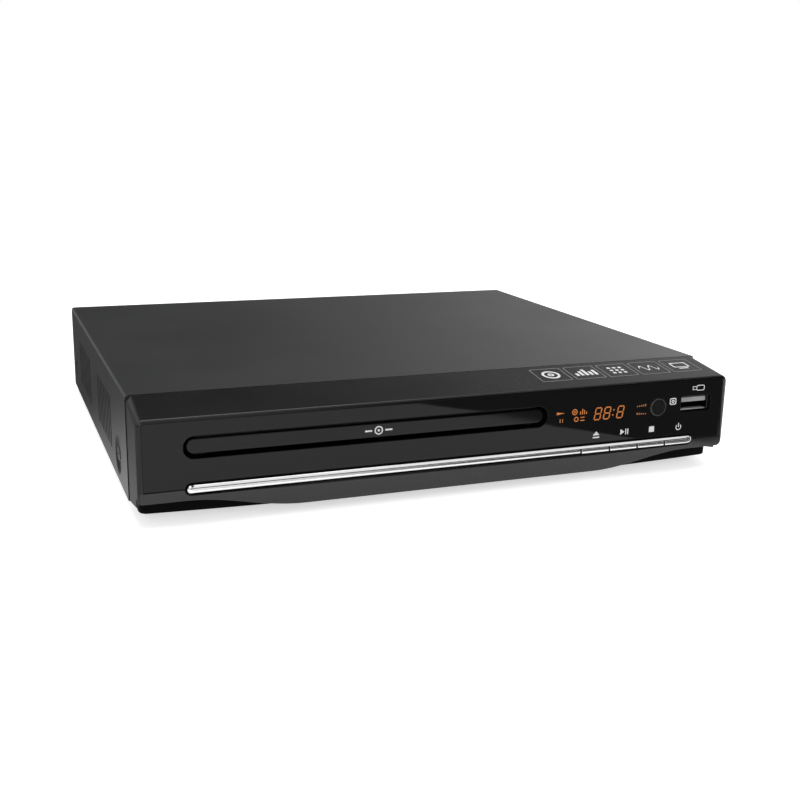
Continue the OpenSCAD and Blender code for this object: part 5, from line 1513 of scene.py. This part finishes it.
@dataclass
class FaceMarks:
    """Printed symbols on the lens and the lip, and the lit figures and plain symbols behind the lens.

    All sizes are in millimetres. Each mark is placed by its x and its height, on the face or up the lip.
    """

    front: Front
    symbol_rise: float = 4.0
    sign_x: float = 42.4
    sign_rise: float = 12.75
    sign_pitch: float = 14.29
    sign_size: Pair = (12.7, 12.3)
    sign_line: float = 0.32

    def build(self) -> None:
        """Builds the marks and dresses the display's housing."""
        face = MarkPlane((0, self.front.front_y, 0))
        for name, slot, finish, shapes in (
                ("key_symbols", "lens_black", WHITE_INK, self.key_symbols()),
                ("socket_marks", "lens_black", WHITE_INK, self.socket_marks()),
                ("lit_segments", "display_amber", AMBER_SEGMENT, self.lit_marks()),
                ("small_segments", "display_amber", AMBER_FAINT, self.faint_marks())):
            add_piece(name, face.printed(shapes), "case", Look(finish))
        refined_node("display_module", Look(BLACK_MOULDED, bevel=0.1))
        self.lip_marks()

    def key_symbols(self) -> list[Mark]:
        """Eject, play and pause, stop and power over their keys.

        Returns:
            The symbols' marks.
        """
        z = self.front.strip_z + self.symbol_rise
        eject = [triangle_up((55.75, z + 1.0), 2.8, 1.5), bar(54.35, z - 0.1, 57.15, z + 0.42)]
        play = [triangle_right((66.2, z + 0.2), 1.8, 2.25)]
        pause = [bar(x, z + 0.2, x + 0.4, z + 2.45) for x in (68.35, 69.25)]
        stop = [bar(78.8, z + 0.2, 81.1, z + 2.4)]
        x, middle, r, line = 92.05, z + 1.15, 1.25, 0.36
        loop = [arc((x, middle), r, 130, 410, 26), arc((x, middle), r - line, 130, 410, 26)[::-1]]
        power = [(np.vstack(loop), ()), bar(x - 0.2, middle, x + 0.2, z + 2.75)]
        return [*eject, *play, *pause, *stop, *power]

    @staticmethod
    def socket_marks() -> list[Mark]:
        """A plain plug over the data socket and a small framed ring beside the infrared window.

        Returns:
            The two signs' marks.
        """
        bars = ((97.2, 31.9, 98.9, 32.15), (97.2, 33.05, 98.9, 33.3), (97.2, 32.15, 97.45, 33.05))
        eye = (88.7, 28.05)
        return [frame_mark(3.7, 2.2, 0.28, (100.75, 32.6)), *[bar(*b) for b in bars],
                frame_mark(2.9, 2.6, 0.36, eye), ring(eye, 0.65, 0.3)]

    @staticmethod
    def lit_marks() -> list[Mark]:
        """Three figures with a colon, a play sign, discs, a level meter and two short lines.

        Returns:
            The lit marks of the display.
        """
        digits, z = SegmentDigits(), 23.35
        figures = [mark for x in (54.1, 58.0, 63.7) for mark in digits.figure((x, z))]
        colon = [digits.point((62.1, z), level) for level in (0.3, 0.7)]
        big, small = (46.1, 27.2), (46.9, 24.4)
        meter = [bar(48.3 + 0.85 * k, 26.1, 48.7 + 0.85 * k, 26.1 + h)
                 for k, h in enumerate((1.2, 2.1, 1.6, 0.9))]
        lines = [bar(48.6, low, 50.3, low + 0.35) for low in (24.8, 23.65)]
        return [*figures, *colon, triangle_right((38.6, 26.6), 3.4, 1.05), ring(big, 1.15, 0.75),
                ring(big, 0.4, 0.1), *meter, ring(small, 0.95, 0.6), *lines]

    @staticmethod
    def faint_marks() -> list[Mark]:
        """A rising and a falling row of five dashes, and two upright ones.

        Returns:
            The faint marks of the display.
        """
        rows = [(72.7, 27.1, 27.5, 0.12), (72.8, 24.0, 24.85, -0.12)]
        dashes = [bar(x + k * 0.9, low, x + 0.45 + k * 0.9, top + step * k)
                  for x, low, top, step in rows for k in range(5)]
        return [*dashes, *[bar(x, 23.6, x + 0.35, 25.0) for x in (39.95, 40.95)]]

    def lip_marks(self) -> None:
        """Five framed plain pictograms in a row at the right end of the lip."""
        front = self.front
        slope = math.atan(front.lip_drop / front.depth)
        lip = MarkPlane((0, front.front_y, front.lip_z), (0.0, math.cos(slope), math.sin(slope)))
        v = self.sign_rise
        signs = disc, bars, dots, wave, screen = [self.sign_x + self.sign_pitch * k for k in range(5)]
        frames = [frame_mark(*self.sign_size, self.sign_line, (x, v)) for x in signs]
        shapes = [ring((disc, v), 3.6, 2.6), ring((disc, v), 1.3, 0.5)]
        shapes += [bar(bars - 4.4 + 2.0 * k, v - 2.8, bars - 3.2 + 2.0 * k, v - 2.8 + h)
                   for k, h in enumerate((2.4, 4.2, 5.8, 3.4, 4.8))]
        shapes += [dot(0.75, (dots + 2.4 * i, v + 2.4 * j)) for i in (-1, 0, 1) for j in (-1, 0, 1)]
        t = np.linspace(-4.2, 4.2, 40)
        curve = np.stack([wave + t, v + 2.0 * np.sin(t * 1.5)], 1)
        shapes += [(np.vstack([curve + [0, 0.45], (curve - [0, 0.45])[::-1]]), ())]
        shapes += [frame_mark(7.2, 4.6, 0.6, (screen, v + 0.6))]
        shapes += [bar(screen - 2, v - 3.2, screen + 2, v - 2.4)]
        for name, finish, marks in (("lip_frames", GREY_INK, frames), ("lip_pictograms", WHITE_INK, shapes)):
            add_piece(name, lip.printed(marks), "case", Look(finish))


# ---------------------------------------------------------------- tray and inside


@dataclass
class TrayUnit:
    """The disc tray and its door. All sizes are in millimetres."""

    bevel: float = 0.4
    mark_x: float = -30.1

    def build(self) -> None:
        """Builds the door with its rounded edges, its plain mark, and dresses the tray."""
        low, high = node_box("tray_door")
        middle, size = (low + high) / 2, high - low
        door = plate(stadium(size[0], size[2], steps=16), (), size[1], self.bevel, 3)
        shell = door.upright((middle[0], low[1], middle[2]))
        add_piece("door_front", shell, "tray_unit", Look(DOOR_PLASTIC), ["tray_door"])
        x, z = self.mark_x, middle[2]
        mark = [ring((x, z), 1.55, 1.1), dot(0.45, (x, z))]
        mark += [bar(x0, z - 0.3, x0 + 2.6, z + 0.3) for x0 in (x - 5.0, x + 2.4)]
        printed = MarkPlane((0, low[1], 0)).printed(mark)
        add_piece("door_mark", printed, "tray_unit", Look(WHITE_INK))
        refined_node("tray", Look(TRAY_PLASTIC, bevel=0.18))


@dataclass
class Sockets:
    """The sockets in the back wall. All sizes are in millimetres."""

    jack_r: float = 4.15
    bore_r: float = 1.65
    base_t: float = 5.0
    mouth_r: float = 2.6
    collar_w: float = 1.2
    collar_t: float = 1.5
    pitch: float = 14.0

    def build(self) -> None:
        """Builds the signal sockets and dresses the others."""
        low, high = node_box("jack_sleeves")
        back, wall, r = high[1], node_box("base_chassis")[1][1], self.jack_r
        outer, end, first = r + self.collar_w, wall + self.collar_t, low[0] + r + self.collar_w
        places = [(first + k * self.pitch, 0, (low[2] + high[2]) / 2) for k in range(len(JackColour))]
        floor, core, bore, mouth = low[1] + self.base_t, back - 0.5, self.bore_r, self.mouth_r
        sleeve = round_profile([(0, floor, 0), (bore, floor, 0), (bore, core, 0.1), (mouth, core, 0.1),
                                (mouth, wall + 1, 0), (r - 0.5, wall + 1, 0), (r - 0.5, back, 0.15),
                                (r, back, 0.25), (r, low[1], 0), (0, low[1], 0)])
        collar = round_profile([(r + 0.02, wall + 0.1, 0), (outer, wall + 0.1, 0.1), (outer, end, 0.35),
                                (r + 0.02, end, 0)])
        collar = np.vstack([collar, collar[:1]])
        sleeves = joined([revolved(sleeve, place, Y_AXIS) for place in places])
        add_piece("jack_plated", sleeves, "case", Look(GOLD_PLATE), ["jack_sleeves"])
        for colour, place in zip(JackColour, places):
            name, look = f"jack_collar_{colour.name.lower()}", Look(colour.finish())
            add_piece(name, revolved(collar, place, Y_AXIS), "case", look)
        for node, finish in (("hdmi_socket", NICKEL), ("mains_inlet", BLACK_MOULDED), ("inlet_pins", NICKEL),
                             ("jack_block", BLACK_MOULDED)):
            refined_node(node, Look(finish, bevel=0.15))


INNER_NODES: dict[Finish, tuple[str, ...]] = {
    BOARD_GREEN: ("front_board", "main_board"),
    BOARD_TAN: ("supply_board",),
    BLACK_MOULDED: ("tact_switches", "loader_frame", "clamp_bridge", "turntable", "main_chips",
                    "supply_parts"),
    ACETAL: ("drive_gear", "pulley_gear", "clamp_puck", "cam_slider"),
    BRASS: ("motor_pulley",),
    BELT_RUBBER: ("drive_belt",),
    NICKEL: ("loading_motor", "guide_rods", "spindle_motor", "feed_motor", "feed_screw", "board_pillars",
             "loader_screws"),
    ZINC: ("lift_frame",),
    DIE_CAST: ("pickup",),
    LENS_GLASS: ("pickup_lens",),
    TAPE_YELLOW: ("supply_transformer",),
    RIBBON_GREY: ("front_cable", "supply_cable"),
}


def dress_inside() -> None:
    """Gives each CAD node that stays its finish."""
    for finish, nodes in INNER_NODES.items():
        for node in nodes:
            part = frame["nodes"][node]
            part.data.materials.clear()
            part.data.materials.append(finish.make())
            log.info("%s keeps its own mesh, in %s", node, finish.name)


# ---------------------------------------------------------------- studio


def seen_directly(tree: Tree) -> Socket:
    """A value of one for camera, glossy and transmission rays.

    Args:
        tree: the material's nodes.

    Returns:
        The factor.
    """
    path = add_node(tree, "LightPath").outputs
    most = calc(tree, "MAXIMUM", path["Is Camera Ray"], path["Is Glossy Ray"])
    return calc(tree, "MAXIMUM", most, path["Is Transmission Ray"])


def object_place(tree: Tree) -> Socket:
    """Object coordinates."""
    return add_node(tree, "TexCoord").outputs["Object"]


def graded(tree: Tree, value: Socket, span: Point, tones: Point, power: float = 1.0) -> Socket:
    """A tone between two ends: low + (high - low) * share ** power.

    Args:
        tree: the nodes it is built in.
        value: what the share is measured on.
        span: values at which the share is 0 and 1.
        tones: the low and the high tone.
        power: exponent of the share.

    Returns:
        The tone's socket.
    """
    return spread(tree, calc(tree, "POWER", spread(tree, value, *span), power), 0.0, 1.0, tones)


@dataclass(frozen=True)
class Sector:
    """A bright part of the screens, by the bearing of its middle from +Y towards +X.

    Its tone grows from its outer to its inner half width, all in degrees.
    """

    middle: float
    outer: float
    inner: float
    tone: float
    power: float = 1.0

    def glow(self, tree: Tree, place: Socket) -> Socket:
        """The tone, graded on the angle between the flat direction of a point and the middle's.

        Args:
            tree: the material's nodes.
            place: the object's coordinates of the shaded point.

        Returns:
            The strength that the sector adds.
        """
        middle, outer, inner = (math.radians(a) for a in (self.middle, self.outer, self.inner))
        level = vector_calc(tree, "MULTIPLY", place, (1, 1, 0))[0]
        unit = vector_calc(tree, "NORMALIZE", level)[0]
        near = vector_calc(tree, "DOT_PRODUCT", unit, (math.sin(middle), math.cos(middle), 0))["Value"]
        return graded(tree, calc(tree, "ARCCOSINE", near), (outer, inner), (0.0, self.tone), self.power)


@dataclass(frozen=True)
class SoftBox:
    """A square area light that faces a point. Lengths are in metres, the power is in watts."""

    name: str
    place: Triple
    size: float
    power: float
    target: Triple = (0, 0, 0.02)
    glossy: bool = True

    def build(self) -> None:
        """Makes the light."""
        data = bpy.data.lights.new(self.name, "AREA")
        data.energy, data.size = self.power, self.size
        lamp = bpy.data.objects.new(self.name, data)
        bpy.context.scene.collection.objects.link(lamp)
        lamp.location = self.place
        lamp.rotation_euler = (Vector(self.target) - Vector(self.place)).to_track_quat("-Z", "Y").to_euler()
        lamp.visible_glossy = self.glossy


@dataclass
class Studio:
    """Floor, soft lights, world and camera. Lengths are in metres here, angles in degrees."""

    camera_at: Triple = (-0.15897, -0.44709, 0.13173)
    azimuth: float = 21.6005
    elevation: float = 14.3812
    roll: float = 1.146
    lens_mm: float = 50.11
    sensor_mm: float = 36.0
    clip: Pair = (0.01, 100.0)
    floor_size: float = 40.0
    floor_tone: float = 0.86
    floor_lift: float = 0.62
    ambient: float = 0.5
    screen_r: float = 2.5
    screen_h: float = 2.6
    screen_steps: int = 64
    screen_tone: float = 0.075
    back: Sector = Sector(60.0, 52.0, 16.0, 1.3, 1.7)
    left: Sector = Sector(-32.0, 26.0, 14.0, 0.4)
    front: Sector = Sector(-165.0, 39.0, 28.0, 0.9)
    back_fade: Pair = (1.10, 0.70)
    back_high: float = 0.24
    card_corner: Pair = (0.122, -0.117)
    card_along: Pair = (-0.6139, -0.7894)
    card_size: Pair = (0.75, 0.70)
    card_tone: float = 0.18
    card_lift: float = 0.0005
    side_card_x: Pair = (-0.60, -0.1126)
    side_card_y: Pair = (-0.125, 0.70)
    side_tones: Pair = (0.13, 0.95)
    side_reach: Pair = (0.20, 0.07)
    side_power: float = 1.3
    boxes: tuple[SoftBox, ...] = (
        SoftBox("top_box", (0.0, 0.0, 1.3), 0.9, 6.0, target=(0, 0, 0)),
        SoftBox("back_box", (1.30, 0.91, 0.85), 0.9, 7.0, glossy=False),
        SoftBox("front_box", (-0.8, -1.1, 0.7), 0.7, 3.0),
    )

    def build(self) -> None:
        """Builds everything round the object."""
        self.camera()
        self.world()
        self.floor()
        self.screens()
        for box in self.boxes:
            box.build()

    def camera(self) -> None:
        """A camera that looks along the azimuth and down by the elevation, then rolls."""
        data = bpy.data.cameras.new("camera")
        data.lens, data.sensor_width = self.lens_mm, self.sensor_mm
        data.clip_start, data.clip_end = self.clip
        camera = bpy.data.objects.new("camera", data)
        bpy.context.scene.collection.objects.link(camera)
        a, e = math.radians(self.azimuth), math.radians(self.elevation)
        forward = Vector((math.sin(a) * math.cos(e), math.cos(a) * math.cos(e), -math.sin(e)))
        roll = Matrix.Rotation(math.radians(self.roll), 4, "Z")
        turn = forward.to_track_quat("-Z", "Y").to_matrix().to_4x4() @ roll
        camera.matrix_world = Matrix.Translation(self.camera_at) @ turn
        bpy.context.scene.camera = camera

    def world(self) -> None:
        """A white surround to look at, and an even soft light from it."""
        world = bpy.data.worlds.new("studio")
        bpy.context.scene.world = world
        world.use_nodes = True
        tree = world.node_tree
        light, white = tree.nodes["Background"], add_node(tree, "Background")
        for node, strength in ((light, self.ambient), (white, 1.0)):
            node.inputs["Color"].default_value = rgba(1.0)
            node.inputs["Strength"].default_value = strength
        inputs = {"Fac": seen_directly(tree), 1: light.outputs[0], 2: white.outputs[0]}
        mix = add_node(tree, "MixShader", inputs)
        tree.links.new(mix.outputs[0], tree.nodes["World Output"].inputs["Surface"])

    def floor(self) -> None:
        """A wide pale floor that keeps the shadow and is lifted to white where it is lit."""
        s = self.floor_size / 2
        tree = self.staged("floor", [(-s, -s, 0), (s, -s, 0), (s, s, 0), (-s, s, 0)], [(0, 1, 2, 3)])
        paper = tree.nodes["Principled BSDF"]
        paper.inputs["Base Color"].default_value = rgba(self.floor_tone)
        paper.inputs["Roughness"].default_value = 0.9
        paper.inputs["Specular IOR Level"].default_value = 0.1
        lift = calc(tree, "MULTIPLY", seen_directly(tree), self.floor_lift)
        glow = add_node(tree, "Emission", {"Strength": lift})
        total = add_node(tree, "AddShader", {0: paper.outputs[0], 1: glow.outputs[0]})
        tree.links.new(total.outputs[0], tree.nodes["Material Output"].inputs["Surface"])

    @staticmethod
    def staged(name: str, points: Sequence[Point], faces: Sequence[Sequence[int]]) -> Tree:
        """Makes a piece of the studio, marks it as stage and returns its material's nodes.

        Args:
            name: name of the piece.
            points: its corners, in metres.
            faces: each face's corners, by number.

        Returns:
            The material's nodes.
        """
        mesh = bpy.data.meshes.new(name)
        mesh.from_pydata(points, [], faces)
        piece = bpy.data.objects.new(name, mesh)
        bpy.context.scene.collection.objects.link(piece)
        material = bpy.data.materials.new(f"{name}_paper")
        material.use_nodes = True
        mesh.materials.append(material)
        return material.node_tree

    def reflected(self, name: str, points: Sequence[Point], faces: Sequence[Sequence[int]]) -> bpy.types.Node:
        """Makes a card that only shiny surfaces see, and returns its emission node.

        Args:
            name: name of the card.
            points: its corners, in metres.
            faces: each face's corners, by number.

        Returns:
            The card's emission node.
        """
        tree = self.staged(name, points, faces)
        glow = add_node(tree, "Emission")
        tree.links.new(glow.outputs[0], tree.nodes["Material Output"].inputs["Surface"])
        card = bpy.data.objects[name]
        card.visible_camera = card.visible_diffuse = card.visible_shadow = False
        card.visible_volume_scatter = False
        return glow

    def card(self, name: str, plan: Sequence[Point]) -> bpy.types.Node:
        """Lays a card just over the floor, by its four corners, and returns its emission node."""
        return self.reflected(name, [(*p, self.card_lift) for p in plan], [(0, 1, 2, 3)])

    def screens(self) -> None:
        """Screens round the set and two cards on the floor, seen only in reflections.

        The card in front is even, and the card at the left side darkens with the distance from the object's
        front corner.
        """
        a = np.linspace(0, 2 * np.pi, self.screen_steps, endpoint=False)
        x, y = self.screen_r * np.cos(a), self.screen_r * np.sin(a)
        wall = np.stack([np.stack([x, y, np.full_like(x, z)], 1) for z in (-0.01, self.screen_h)])
        shell = grid_shell(wall, close_cols=True)
        self.light_screens(self.reflected("studio_screens", shell.points.tolist(), shell.faces[0].tolist()))
        corner, along = np.array(self.card_corner), np.array(self.card_along)
        length, width = self.card_size
        side, out = along * length, np.array([-along[1], along[0]]) * width
        card = self.card("floor_card", [corner, corner + side, corner + side + out, corner + out])
        card.inputs["Strength"].default_value = self.card_tone
        (x0, x1), (y0, y1) = self.side_card_x, self.side_card_y
        card = self.card("side_card", [(x0, y0), (x1, y0), (x1, y1), (x0, y1)])
        tree = card.id_data
        away = vector_calc(tree, "DISTANCE", object_place(tree), (x1, y0, 0.0))["Value"]
        tone = graded(tree, away, self.side_reach, self.side_tones, self.side_power)
        feed(tree, card.inputs["Strength"], tone)

    def light_screens(self, glow: bpy.types.Node) -> None:
        """Brightens the screens in three sectors: at the back right, at the back left and in front.

        The plain tone and the back right sector darken with height.

        Args:
            glow: the emission node of the screens.
        """
        tree = glow.id_data
        place = object_place(tree)
        height = add_node(tree, "SeparateXYZ", {0: place}).outputs["Z"]
        fall = graded(tree, height, self.back_fade, (self.back_high, 1.0))
        plain = calc(tree, "ADD", self.back.glow(tree, place), self.screen_tone)
        lower = calc(tree, "MULTIPLY_ADD", plain, fall, self.front.glow(tree, place))
        feed(tree, glow.inputs["Strength"], calc(tree, "ADD", lower, self.left.glow(tree, place)))


def main() -> None:
    """Builds the studio and the object's pieces in order."""
    logging.basicConfig(level=logging.INFO, format="%(message)s")
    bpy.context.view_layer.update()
    Studio().build()
    Case().build()
    Front().build()
    TrayUnit().build()
    Sockets().build()
    dress_inside()
    bpy.context.scene.view_settings.view_transform = "Standard"


if __name__ == "__main__":
    main()
